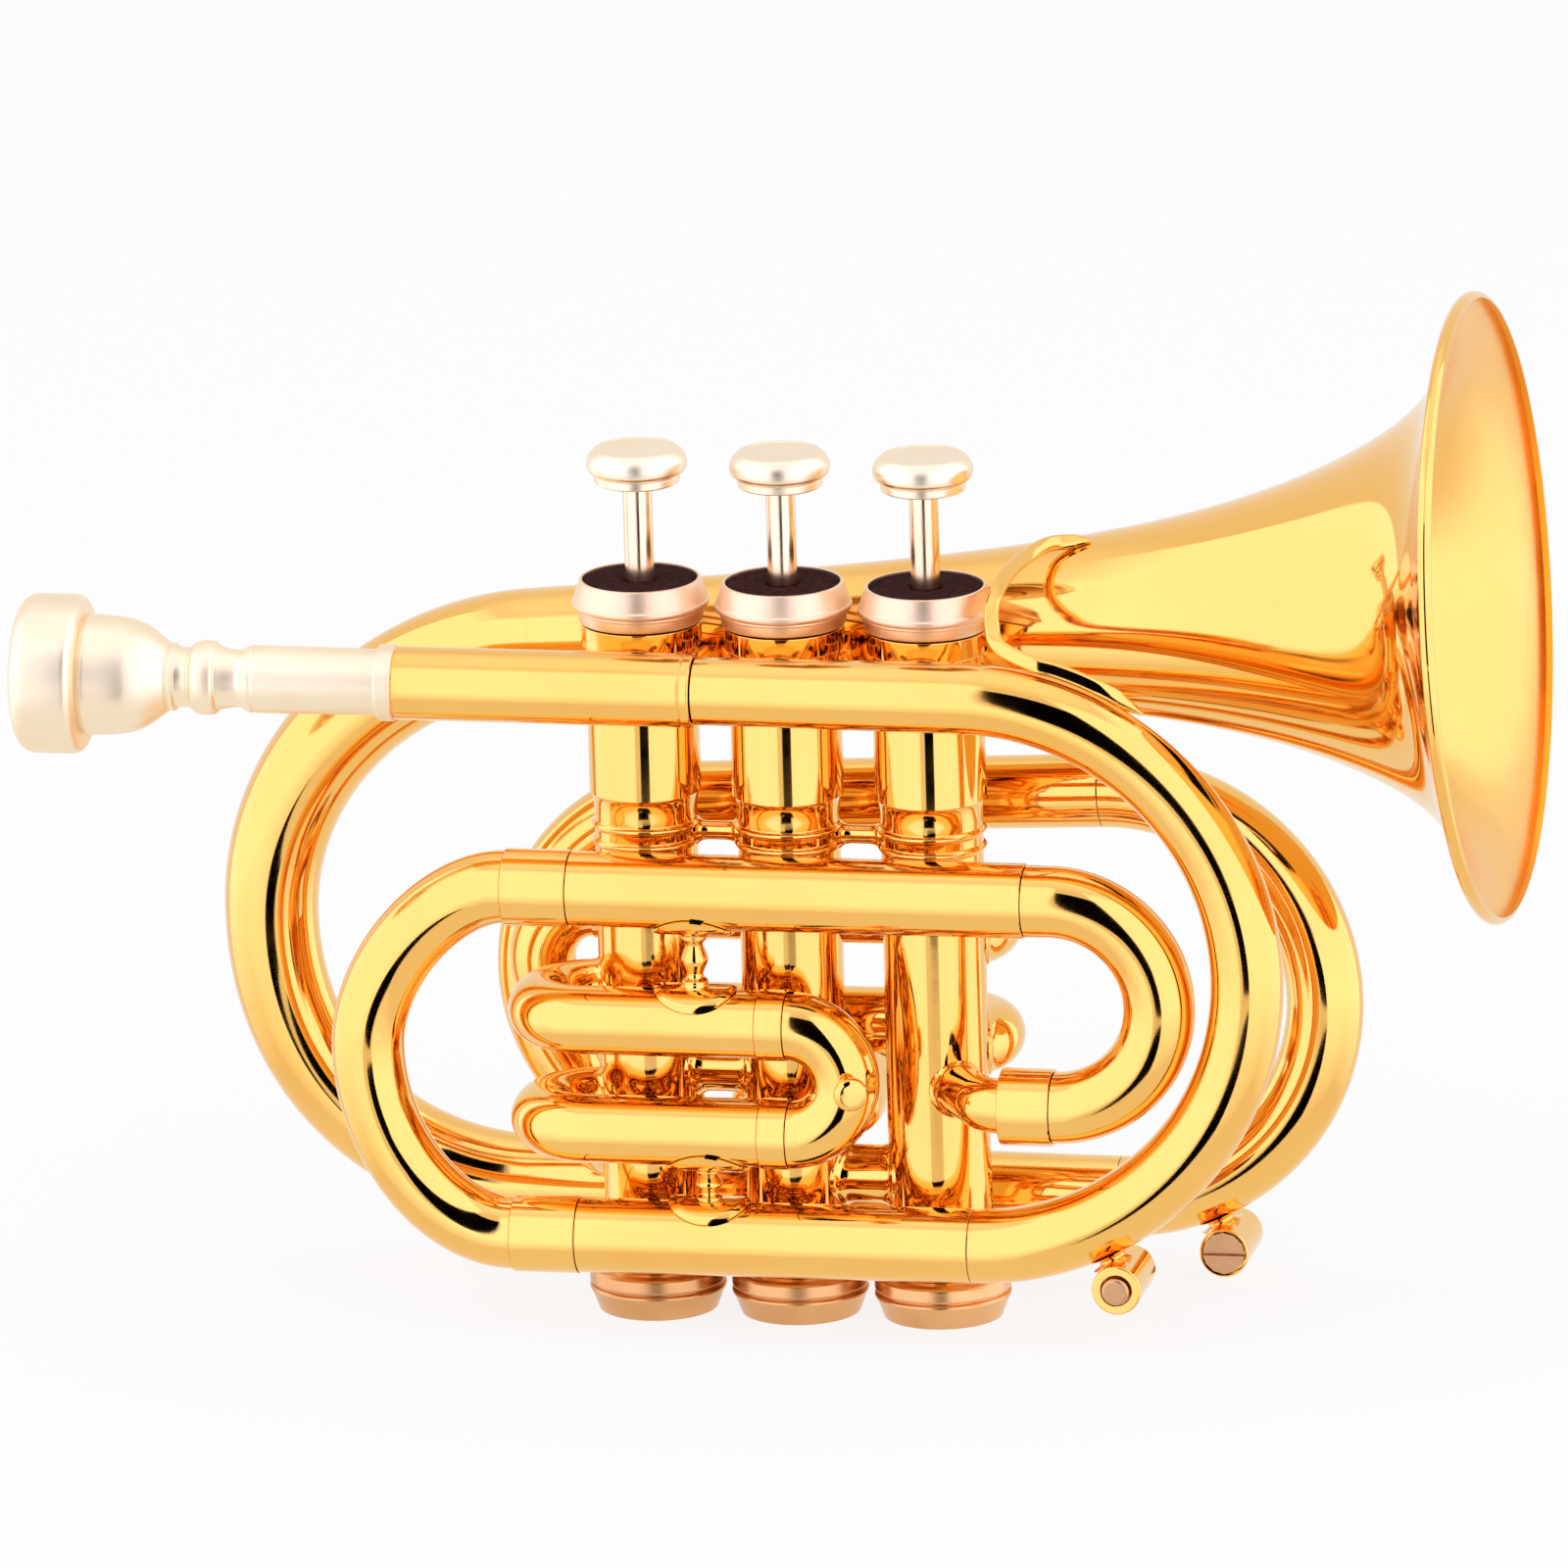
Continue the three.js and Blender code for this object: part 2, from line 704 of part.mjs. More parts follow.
function finger(number) {
  const outline = rowsFromShares(buttonHeightShares, buttonRadiusShares, buttonHeight, buttonRadius, buttonFoot);
  const socketTop = buttonFoot + buttonSocketShare * buttonHeight;
  const rows = [
    [0, socketTop],
    [stemRadius + seatGap, socketTop],
    [stemRadius + seatGap, buttonFoot],
    ...outline,
    [0, buttonFoot + buttonHeight],
  ];
  addNode(`valve_${number}_button`, turned(rows, barrelSides).translate(valveX(number), 0, 0), silverPlate);
}

// A wound spring: one unbroken round wire, from the guide up to the head of the spring barrel
const springFoot = guideHeight + guideThickness + seatGap + springWireRadius;
const springTop = springBarrelTop - pistonHeadThickness - seatGap - springWireRadius;

function springGeometry() {
  const steps = springCurls * stepsPerCurl;
  const climb = springTop - springFoot;
  const positions = [];
  for (let step = 0; step <= steps; step += 1) {
    const share = step / steps;
    const turn = 2 * Math.PI * springCurls * share;
    const height = springFoot + climb * share;
    for (let i = 0; i < springSides; i += 1) {
      const around = (2 * Math.PI * i) / springSides;
      const radius = springRadius + springWireRadius * Math.cos(around);
      positions.push(radius * Math.cos(turn), radius * Math.sin(turn), height + springWireRadius * Math.sin(around));
    }
  }
  const faces = [];
  for (let step = 0; step < steps; step += 1) {
    for (let i = 0; i < springSides; i += 1) {
      const a = step * springSides + i;
      const b = step * springSides + ((i + 1) % springSides);
      faces.push(a, a + springSides, b, b, a + springSides, b + springSides);
    }
  }
  const last = steps * springSides;
  for (let i = 1; i < springSides - 1; i += 1) {
    faces.push(0, i, i + 1);
    faces.push(last, last + i + 1, last + i);
  }
  const geometry = new THREE.BufferGeometry();
  geometry.setAttribute("position", new THREE.BufferAttribute(new Float32Array(positions), 3));
  geometry.setIndex(faces);
  const curlGap = climb / springCurls - 2 * springWireRadius;
  console.log(`valve spring: least gap between curls ${curlGap.toFixed(2)} mm`);
  return geometry;
}

const springShape = springGeometry();

for (const number of valveNumbers) {
  casing(number);
  bottomCap(number);
  topCap(number);
  topFelt(number);
  piston(number);
  valveGuide(number);
  finger(number);
  addNode(`valve_${number}_spring`, springShape.clone().translate(valveX(number), 0, 0), springSteel);
}

// Mouthpiece receiver, with a rolled lip and the ring where the leadpipe enters it
const receiverEnd = receiverMouth + receiverLength;
const socketBore = mouthpieceShankRadius + runningGap;

function receiver() {
  const leadBore = boreOf(leadpipeStartRadius);
  const rows = [
    [socketBore, receiverMouth],
    [receiverLipRadius, receiverMouth],
    [receiverLipRadius, receiverMouth + receiverLipLength],
    [receiverRadius, receiverMouth + receiverLipLength],
    [receiverRadius, receiverEnd],
    [receiverRingRadius, receiverEnd],
    [receiverRingRadius, receiverEnd + receiverRingLength],
    [leadBore, receiverEnd + receiverRingLength],
    [leadBore, receiverMouth + receiverSocketDepth],
    [mouthpieceShankEndRadius + runningGap, receiverMouth + receiverSocketDepth],
  ];
  addNode(
    "leadpipe_receiver",
    turnedAlongX(rows, barrelSides).translate(0, nearPlane, leadpipeHeight),
    lacquer,
  );
}

// Mouthpiece: outline and bore as [share of its length, share of its rim or cup radius]
const mouthpieceOutlineShares = [
  [0, 0.82], [0.027, 1], [0.123, 1], [0.151, 0.765], [0.243, 0.7], [0.315, 0.432], [0.36, 0.375],
  [0.388, 0.465], [0.415, 0.458], [0.435, 0.375], [0.468, 0.362], [0.496, 0.42],
];
const mouthpieceCupShares = [[0.11, 0.75], [0.03, 1], [0, 1.18]];
const mouthpieceThroatShares = [0.24, 0.17];

function mouthpiece() {
  const place = (share) => mouthpieceRimPlane + share * mouthpieceLength;
  const outline = mouthpieceOutlineShares.map(([along, out]) => [out * mouthpieceRimRadius, place(along)]);
  const shankStep = receiverMouth + receiverSocketDepth;
  const rows = [
    ...outline,
    [mouthpieceShankRadius, receiverMouth],
    [mouthpieceShankEndRadius, shankStep - seatGap],
    [mouthpieceShankEndRadius, place(1)],
    [mouthpieceBackboreRadius, place(1)],
    ...mouthpieceThroatShares.map((along) => [mouthpieceThroatRadius, place(along)]),
    ...mouthpieceCupShares.map(([along, out]) => [out * mouthpieceCupRadius, place(along)]),
  ];
  addNode("mouthpiece", turnedAlongX(rows, barrelSides).translate(0, nearPlane, leadpipeHeight), silverPlate);
}

// Leadpipe: a long taper that runs straight over the valves and turns down round the right side
const lowerSlideTubeHeight = leadpipeHeight - leadpipeLoopDrop;
const leadpipeBend = leadpipeLoopDrop / 2;
const leadpipeStart = receiverEnd + receiverRingLength + seatGap;
const leadpipeBowCentre = new THREE.Vector3(leadpipeBowStart, nearPlane, leadpipeHeight - leadpipeBend);

function leadpipe() {
  const start = new THREE.Vector3(leadpipeStart, nearPlane, leadpipeHeight);
  const bowTop = new THREE.Vector3(leadpipeBowStart, nearPlane, leadpipeHeight);
  const bow = new UprightArc(leadpipeBowCentre, leadpipeBend, leadpipeBend, 90, -90);
  addNode(
    "leadpipe",
    drawnTube([
      stretch(line(start, bowTop), 1, leadpipeStartRadius, 0.5 * (leadpipeStartRadius + slideTubeRadius)),
      stretch(bow, 9, 0.5 * (leadpipeStartRadius + slideTubeRadius), slideTubeRadius),
    ]),
    lacquer,
  );
}

// Pulls that shape each quarter of an egg-shaped bow, at its foot and at its far side, in shares of its spans
const crookPullShares = { upper: [0.45, 0.48], lower: [0.54, 0.51] };
const bellBowPullShares = { upper: [0.52, 0.54], lower: [0.49, 0.66] };
const bowDriftShare = 0.35; // how much of a quarter's way from plane to plane lies beside its far pull

// A quarter of a bow in an upright plane: from its foot, where it runs along X, to its far side, where it runs upright
function quarterBow(foot, far, pulls, heading = new THREE.Vector3(1, 0, 0)) {
  const across = Math.abs(far.x - foot.x);
  const rise = far.z - foot.z;
  const footPull = foot.clone().addScaledVector(heading, -pulls[0] * across);
  const farPull = far.clone().lerp(far.clone().setY(foot.y), bowDriftShare).setZ(far.z - pulls[1] * rise);
  return new QuarterBow(foot, footPull, farPull, far);
}

// Main tuning slide: two outer tubes, and a bow with a ferrule and an inner leg at each end
function tuningSlide() {
  addNode(
    "lower_slide_tube",
    straightTube(slideTubeLeft, leadpipeBowStart - seatGap, nearPlane, lowerSlideTubeHeight, slideTubeRadius, slideSides),
    lacquer,
  );
  addNode(
    "upper_slide_tube",
    straightTube(slideTubeLeft, upperSlideTubeRight, nearPlane, upperSlideTubeHeight, slideTubeRadius, slideSides),
    lacquer,
  );
  const ferruleEnd = slideTubeLeft - seatGap;
  const crookEnd = ferruleEnd - slideFerruleLength;
  const legRadius = legRadiusIn(slideTubeRadius);
  const legs = { upper: upperSlideTubeHeight, lower: lowerSlideTubeHeight };
  for (const [name, height] of Object.entries(legs)) {
    const places = [crookEnd, ferruleEnd, ferruleEnd + tuningLegLength];
    const leg = slideLeg(places, height, [slideFerruleRadius, legRadius]);
    addNode(`tuning_slide_leg_${name}`, leg, lacquer);
  }
  const bowX = crookEnd - seatGap;
  const at = (x, height) => new THREE.Vector3(x, nearPlane, height);
  const far = at(bowX - crookReach, crookMiddle);
  const { lower, upper } = crookPullShares;
  addNode(
    "tuning_slide_crook",
    drawnTube([
      stretch(quarterBow(at(bowX, upperSlideTubeHeight), far, upper), 4, crookRadius),
      stretch(quarterBow(at(bowX, lowerSlideTubeHeight), far, lower).reversed(), 4, crookRadius),
    ]),
    lacquer,
  );
}

// Inlet bow: from the upper slide tube back to valve 3, then a tight elbow brazed to the casing
const inletBend = (upperSlideTubeHeight - inletPortHeight) / 2;

function inlet() {
  const centre = new THREE.Vector3(inletBowStart, nearPlane, upperSlideTubeHeight - inletBend);
  const bow = new UprightArc(centre, inletBowReach, inletBend, 90, -90);
  const bowTop = new THREE.Vector3(inletBowStart, nearPlane, upperSlideTubeHeight);
  const tubeEnd = new THREE.Vector3(upperSlideTubeRight + seatGap, nearPlane, upperSlideTubeHeight);
  addNode(
    "inlet_bow",
    drawnTube([
      stretch(line(tubeEnd, bowTop), 1, inletBowRadius),
      stretch(bow, 7, inletBowRadius),
    ]),
    lacquer,
  );
  const ferruleRight = inletBowStart - seatGap;
  const ferruleLeft = ferruleRight - inletFerruleLength;
  addNode(
    "inlet_ferrule",
    straightTube(ferruleLeft, ferruleRight, nearPlane, inletPortHeight, slideFerruleRadius),
    lacquer,
  );
  // The elbow aims at the valve's axis, so its straight end follows from the turn and the bend
  const turn = radians(-inletPortTurn);
  const straight = (-nearPlane - inletElbowBend * (1 - Math.cos(turn))) / Math.sin(turn);
  const bendStart = valveX(3) + inletElbowBend * Math.sin(turn) + straight * Math.cos(turn);
  const bendCentre = new THREE.Vector3(bendStart, nearPlane + inletElbowBend, inletPortHeight);
  const bend = new LevelArc(bendCentre, inletElbowBend, 270, 270 + inletPortTurn);
  const bendEnd = bend.getPoint(1);
  const axis = new THREE.Vector3(valveX(3), 0, inletPortHeight);
  const ferruleFace = new THREE.Vector3(ferruleLeft - seatGap, nearPlane, inletPortHeight);
  const stretches = [];
  if (ferruleFace.x > bendStart) stretches.push(stretch(line(ferruleFace, bend.getPoint(0)), 1, inletElbowRadius));
  stretches.push(
    stretch(bend, 4, inletElbowRadius, inletElbowEndRadius),
    stretch(line(bendEnd, axis), 1, inletElbowEndRadius),
  );
  const elbow = solid(drawnTube(stretches)).subtract(casingSpace(3));
  addNode("inlet_elbow", elbow, lacquer);
}

// The pull knob's outline in shares of its radius and height
const knobShares = [[0, 0], [0.8, 0], [0.6, 0.35], [1, 0.5], [1, 0.8], [0.7, 1], [0, 1]];

// First valve slide: two returns brazed to the left of valve 1, and a short bow that draws to the right
function firstSlide() {
  const bend = -nearPlane / 2;
  const bendX = valveX(1) - casingRadius;
  const ferruleLeft = firstSlideTubeEnd + seatGap;
  const crookX = ferruleLeft + firstSlideFerruleLength + seatGap;
  const levels = { upper: firstSlideUpperHeight, lower: firstSlideLowerHeight };
  const tubeBore = boreOf(firstSlideTubeRadius);
  const legRadius = tubeBore - runningGap;
  for (const [name, height] of Object.entries(levels)) {
    const centre = new THREE.Vector3(bendX, nearPlane + bend, height);
    const back = new THREE.Vector3(bendX, 0, height);
    const front = new THREE.Vector3(bendX, nearPlane, height);
    const tube = drawnTube([
      stretch(line(new THREE.Vector3(valveX(1), 0, height), back), 1, firstSlideTubeRadius),
      stretch(new LevelArc(centre, bend, 90, 270), 5, firstSlideTubeRadius),
      stretch(line(front, new THREE.Vector3(firstSlideTubeEnd, nearPlane, height)), 1, firstSlideTubeRadius),
    ]);
    addNode(`first_slide_tube_${name}`, solid(tube).subtract(casingSpace(1)), lacquer);
    const places = [ferruleLeft - firstSlideLegLength, ferruleLeft, ferruleLeft + firstSlideFerruleLength];
    addNode(`first_slide_leg_${name}`, slideLeg(places, height, [legRadius, ferruleRadius], tubeSides), lacquer);
  }
  const middle = (firstSlideUpperHeight + firstSlideLowerHeight) / 2;
  const half = (firstSlideUpperHeight - firstSlideLowerHeight) / 2;
  const centre = new THREE.Vector3(crookX, nearPlane, middle);
  addNode(
    "first_slide_crook",
    drawnTube([stretch(new UprightArc(centre, half, half, 90, -90), 6, firstSlideTubeRadius)]),
    lacquer,
  );
  // The pull knob: a small turned button on the bow's near side
  const knobFoot = firstSlideTubeRadius + seatGap;
  const knob = knobShares.map(([out, up]) => [out * knobRadius, knobFoot + up * knobHeight]);
  const knobShape = turned(knob, smallSides).rotateX(quarterTurn).rotateZ(radians(knobTurn));
  knobShape.translate(crookX + half, nearPlane, middle);
  addNode("first_slide_knob", knobShape, lacquer);
}

// Second valve slide: two knuckles out of the back of valve 2 and a level bow
function secondSlide() {
  const legRadius = legRadiusIn(secondSlideRadius);
  for (const [name, side] of [["left", -1], ["right", 1]]) {
    const turn = side > 0 ? secondSlideTurn : 180 - secondSlideTurn;
    const start = aroundValve(2, turn, casingRadius - casingWall, secondSlideHeight);
    const out = aroundValve(2, turn, casingRadius, secondSlideHeight);
    const outX = side * secondSlideHalfSpan;
    const straightFrom = new THREE.Vector3(outX, casingRadius + secondSlideRadius, secondSlideHeight);
    const pull = 0.4 * (straightFrom.y - out.y);
    const knuckle = new THREE.CubicBezierCurve3(
      out,
      out.clone().add(aroundValve(2, turn, pull, 0)),
      straightFrom.clone().sub(new THREE.Vector3(0, pull, 0)),
      straightFrom,
    );
    const tube = drawnTube([
      stretch(line(start, out), 1, secondSlideRadius),
      stretch(knuckle, 3, secondSlideRadius),
      stretch(
        line(straightFrom, new THREE.Vector3(outX, secondSlideTubeEnd, secondSlideHeight)),
        1,
        secondSlideRadius,
      ),
    ], farTubeSides);
    addNode(`second_slide_tube_${name}`, solid(tube).subtract(casingSpace(2)), lacquer);
  }
  const legEnd = secondSlideTubeEnd - secondSlideLegLength;
  const ferruleFrom = secondSlideTubeEnd + seatGap;
  const ferruleTo = ferruleFrom + secondSlideFerruleLength;
  const at = (side, y) => new THREE.Vector3(side * secondSlideHalfSpan, y, secondSlideHeight);
  const centre = new THREE.Vector3(0, secondSlideCrookStart, secondSlideHeight);
  const leg = (side, fromY, toY) => ({
    curve: line(at(side, fromY), at(side, toY)),
    steps: 1,
    outer: [legRadius, legRadius],
    bore: [boreOf(legRadius), boreOf(legRadius)],
  });
  const sleeve = (side, fromY, toY, radius) => ({
    ...leg(side, fromY, toY),
    outer: [radius, radius],
  });
  const ferrule = secondSlideRadius + runningGap;
  addNode(
    "second_slide_crook",
    drawnTube([
      leg(1, legEnd, ferruleFrom),
      sleeve(1, ferruleFrom, ferruleTo, ferrule),
      sleeve(1, ferruleTo, secondSlideCrookStart, secondSlideRadius),
      { ...leg(1, 0, 0), curve: new LevelArc(centre, secondSlideHalfSpan, 0, 180), steps: 5,
        outer: [secondSlideRadius, secondSlideRadius] },
      sleeve(-1, secondSlideCrookStart, ferruleTo, secondSlideRadius),
      sleeve(-1, ferruleTo, ferruleFrom, ferrule),
      leg(-1, ferruleFrom, legEnd),
    ], farTubeSides),
    lacquer,
  );
}

// Third valve slide: two returns out of the back right of valve 3 and a bow far to the left
function thirdSlide() {
  const legRadius = legRadiusIn(thirdSlideRadius);
  const turn = radians(thirdSlideTurn);
  const bendAngle = 180 - thirdSlideTurn;
  const bendFrom = (thirdSlidePlane - thirdSlideBend * (1 - Math.cos(radians(bendAngle)))) / Math.sin(turn);
  const levels = { upper: thirdSlideUpperHeight, lower: thirdSlideLowerHeight };
  for (const [name, height] of Object.entries(levels)) {
    const axis = new THREE.Vector3(valveX(3), 0, height);
    const bendStart = aroundValve(3, thirdSlideTurn, bendFrom, height);
    const centre = new THREE.Vector3(
      bendStart.x - thirdSlideBend * Math.sin(turn),
      bendStart.y + thirdSlideBend * Math.cos(turn),
      height,
    );
    const bend = new LevelArc(centre, thirdSlideBend, thirdSlideTurn - 90, 90);
    const bendEnd = bend.getPoint(1);
    const tube = drawnTube([
      stretch(line(axis, bendStart), 1, thirdSlideRadius),
      stretch(bend, 4, thirdSlideRadius),
      stretch(line(bendEnd, new THREE.Vector3(thirdSlideTubeEnd, bendEnd.y, height)), 1, thirdSlideRadius),
    ], farTubeSides);
    addNode(`third_slide_tube_${name}`, solid(tube).subtract(casingSpace(3)), lacquer);
  }
  const upper = thirdSlideUpperHeight;
  const lower = thirdSlideLowerHeight;
  const half = (upper - lower) / 2;
  const ferruleFrom = thirdSlideTubeEnd - seatGap;
  const ferruleTo = ferruleFrom - thirdSlideFerruleLength;
  const legEnd = thirdSlideTubeEnd + thirdSlideLegLength;
  const at = (x, height) => new THREE.Vector3(x, thirdSlidePlane, height);
  const inner = boreOf(legRadius);
  const part = (fromX, toX, height, radius) => ({
    curve: line(at(fromX, height), at(toX, height)),
    steps: 1,
    outer: [radius, radius],
    bore: [inner, inner],
  });
  const centre = at(ferruleTo, (upper + lower) / 2);
  addNode(
    "third_slide_crook",
    drawnTube([
      part(legEnd, ferruleFrom, upper, legRadius),
      part(ferruleFrom, ferruleTo, upper, ferruleRadius),
      { curve: new UprightArc(centre, half, half, 90, 270), steps: 5,
        outer: [thirdSlideRadius, thirdSlideRadius], bore: [inner, inner] },
      part(ferruleTo, ferruleFrom, lower, ferruleRadius),
      part(ferruleFrom, legEnd, lower, legRadius),
    ], farTubeSides),
    lacquer,
  );
}

// The tail runs straight where it leaves one bow for the next: the common tangent of the two circles
function pitchBetween(x1, z1, bend1, x2, z2, bend2) {
  const distance = Math.hypot(x2 - x1, z2 - z1);
  return THREE.MathUtils.radToDeg(Math.atan2(z2 - z1, x2 - x1) + Math.asin((bend2 - bend1) / distance));
}

const tailPitch = pitchBetween(tailLoopX, tailLoopHeight, tailLoopBend, tailBowX, tailBowHeight, tailBowBend);
const tailBowRadius = 0.5 * (tailStartRadius + bellStemStartRadius);

function tail() {
  const loopCentre = new THREE.Vector3(tailLoopX, tailPlane, tailLoopHeight);
  const loop = new UprightArc(loopCentre, tailLoopBend, tailLoopBend, tailLoopJoinTurn, 90 + tailPitch);
  const loopStart = loop.getPoint(0);
  const loopHeading = loop.getTangent(0);
  const portWall = aroundValve(1, tailPortTurn, casingRadius, tailPortHeight);
  const portCore = aroundValve(1, tailPortTurn, casingRadius - casingWall, tailPortHeight);
  const outwards = portWall.clone().sub(portCore).normalize();
  const sweep = new THREE.CubicBezierCurve3(
    portWall,
    portWall.clone().addScaledVector(outwards, tailPortReach),
    loopStart.clone().addScaledVector(loopHeading, -tailPortReach),
    loopStart,
  );
  const bowCentre = new THREE.Vector3(tailBowX, tailPlane, tailBowHeight);
  const bow = new UprightArc(bowCentre, tailBowBend, tailBowBend, 90 + tailPitch, -90);
  const bowStart = bow.getPoint(0);
  const loopEnd = loop.getPoint(1);
  const joint = bowStart.clone().addScaledVector(bowStart.clone().sub(loopEnd).normalize(), -seatGap);
  const loopRadius = 0.5 * (tailStartRadius + tailBowRadius);
  const tube = drawnTube([
    stretch(line(portCore, portWall), 1, tailStartRadius),
    stretch(sweep, 3, tailStartRadius),
    stretch(loop, 6, tailStartRadius, loopRadius),
    stretch(line(loopEnd, joint), 1, loopRadius, tailBowRadius),
  ], farTubeSides);
  addNode("tail_loop", solid(tube).subtract(casingSpace(1)), lacquer);
  addNode("tail_bow", drawnTube([stretch(bow, 8, tailBowRadius, bellStemStartRadius)], farTubeSides), lacquer);
}

// Bell: the stem and the left bow swell steadily; the flare is a turned shell with a wired rim
const bellHeading = new THREE.Vector3(Math.cos(radians(bellPitch)), 0, Math.sin(radians(bellPitch)));
const bellBowEnd = new THREE.Vector3(
  bellBowTopX,
  bellPlane,
  bellAxisHeight + bellBowTopX * Math.tan(radians(bellPitch)),
);

function bellStem() {
  const bowFoot = new THREE.Vector3(bellBowFootX, tailPlane, tailBowHeight - tailBowBend);
  const bowFar = new THREE.Vector3(bellBowLeft, (bellPlane + tailPlane) / 2, bellBowMiddle);
  const stemStart = bowFoot.clone().setX(tailBowX - seatGap);
  const { lower, upper } = bellBowPullShares;
  addNode(
    "bell_stem",
    drawnTube([
      stretch(line(stemStart, bowFoot), 1, bellStemStartRadius, bellBowStartRadius),
      stretch(quarterBow(bowFoot, bowFar, lower), 5, bellBowStartRadius, bellBowLeftRadius),
      stretch(quarterBow(bellBowEnd, bowFar, upper, bellHeading).reversed(), 5, bellBowLeftRadius, bellRadius(0)),
    ]),
    lacquer,
  );
}

// Outer radius of the bell at a distance along its axis from the bow: a slow cone, a flare and a short steep lip
function bellRadius(distance) {
  const cone = THREE.MathUtils.lerp(bellBowEndRadius, bellThroatRadius, distance / bellReach);
  const lipRise = bellRimRadius - bellThroatRadius - bellFlareRise;
  const back = distance - bellReach;
  return cone + bellFlareRise * Math.exp(back / bellFlareLength) + lipRise * Math.exp(back / bellLipLength);
}

// Places along the bell, closer together where the flare is steep
const bellStationShares = [0, 0.4, 0.6, 0.74, 0.84, 0.91, 0.955, 0.983, 1];

// Corners of the rim's rolled wire, in degrees from straight outwards towards the front
const rimWireTurns = [-60, 0, 90];

function bell() {
  const stations = bellStationShares.map((share) => share * bellReach);
  const outside = stations.map((distance) => [bellRadius(distance), distance]);
  const slopeStep = bellReach / 1000;
  const inside = stations.map((distance) => {
    const rise = (bellRadius(distance + slopeStep) - bellRadius(distance - slopeStep)) / (2 * slopeStep);
    const length = Math.hypot(1, rise);
    return [bellRadius(distance) - bellWall / length, distance + (bellWall * rise) / length];
  });
  const rimCentre = [bellRimRadius - rimWireRadius, bellReach + rimWireRadius / 2];
  const bead = rimWireTurns.map((turn) => [
    rimCentre[0] + rimWireRadius * Math.cos(radians(turn)),
    rimCentre[1] + rimWireRadius * Math.sin(radians(turn)),
  ]);
  const first = seatGap;
  outside[0][1] = first;
  inside[0][1] = first;
  const rows = [...outside.slice(0, -1), ...bead, ...inside.slice(0, -1).reverse()];
  const shape = turnedAlongX(rows, bellSides).rotateY(-radians(bellPitch));
  addNode("bell", shape.translate(bellBowEnd.x, bellBowEnd.y, bellBowEnd.z), lacquer);
}

// The S-shaped brace: a flat strip from the top of the bell round to the top of the leadpipe's bow
function onBell(distance, turn, lift) {
  const radius = bellRadius(distance) + lift;
  const point = new THREE.Vector3(distance, radius * Math.cos(radians(turn)), radius * Math.sin(radians(turn)));
  point.applyAxisAngle(new THREE.Vector3(0, 1, 0), -radians(bellPitch));
  return point.add(bellBowEnd);
}

function onLeadpipeBow(turn, lift) {
  const reach = leadpipeBend + slideTubeRadius + lift;
  return new THREE.Vector3(
    leadpipeBowCentre.x + reach * Math.cos(radians(turn)),
    nearPlane,
    leadpipeBowCentre.z + reach * Math.sin(radians(turn)),
  );
}

// The free part of the brace: x and z from the centre of the leadpipe's bow in shares of its bend, and y as the share
// of the way from the near plane to the bell
const braceRouteShares = [
  [0.191, 0.83, 1.378],
  [0.14, 0.66, 1.37],
  [0.105, 0.42, 1.353],
  [0.09, 0.228, 1.306],
  [0.098, 0.132, 1.238],
  [0.136, 0.048, 1.18],
];
const braceBellFeet = [[0.598, 103], [0.578, 105]];
const bracePipeFeet = [77, 73, 68, 62, 56];

function bellBrace() {
  const lift = braceThickness / 2 + saddleGap;
  const route = new THREE.CatmullRomCurve3([
    ...braceBellFeet.map(([share, turn]) => onBell(share * bellReach, turn, lift)),
    ...braceRouteShares.map(([x, y, z]) => new THREE.Vector3(
      leadpipeBowCentre.x + x * leadpipeBend,
      THREE.MathUtils.lerp(nearPlane, bellPlane, y),
      leadpipeBowCentre.z + z * leadpipeBend,
    )),
    ...bracePipeFeet.map((turn) => onLeadpipeBow(turn, lift)),
  ]);
  addNode("bell_brace", strap(route, new THREE.Vector3(0, 0, 1), braceWidth, braceThickness, 16), lacquer);
}

// A rounded strap along a curve: its thickness starts out along the given direction and turns with the curve
function strap(route, up, width, thickness, steps) {
  const sides = smallSides;
  const positions = [];
  const thick = up.clone();
  for (let step = 0; step <= steps; step += 1) {
    const centre = route.getPointAt(step / steps);
    const tangent = route.getTangentAt(step / steps);
    thick.addScaledVector(tangent, -thick.dot(tangent)).normalize();
    const wide = new THREE.Vector3().crossVectors(tangent, thick);
    for (let i = 0; i < sides; i += 1) {
      const turn = (2 * Math.PI * i) / sides;
      const point = centre.clone();
      point.addScaledVector(thick, (thickness / 2) * Math.cos(turn));
      point.addScaledVector(wide, (width / 2) * Math.sin(turn));
      positions.push(point.x, point.y, point.z);
    }
  }
  const faces = [];
  for (let step = 0; step < steps; step += 1) {
    for (let i = 0; i < sides; i += 1) {
      const a = step * sides + i;
      const b = step * sides + ((i + 1) % sides);
      faces.push(a, b, a + sides, b, b + sides, a + sides);
    }
  }
  const last = steps * sides;
  for (let i = 1; i < sides - 1; i += 1) {
    faces.push(0, i + 1, i);
    faces.push(last, last + i, last + i + 1);
  }
  const geometry = new THREE.BufferGeometry();
  geometry.setAttribute("position", new THREE.BufferAttribute(new Float32Array(positions), 3));
  geometry.setIndex(faces);
  return geometry;
}

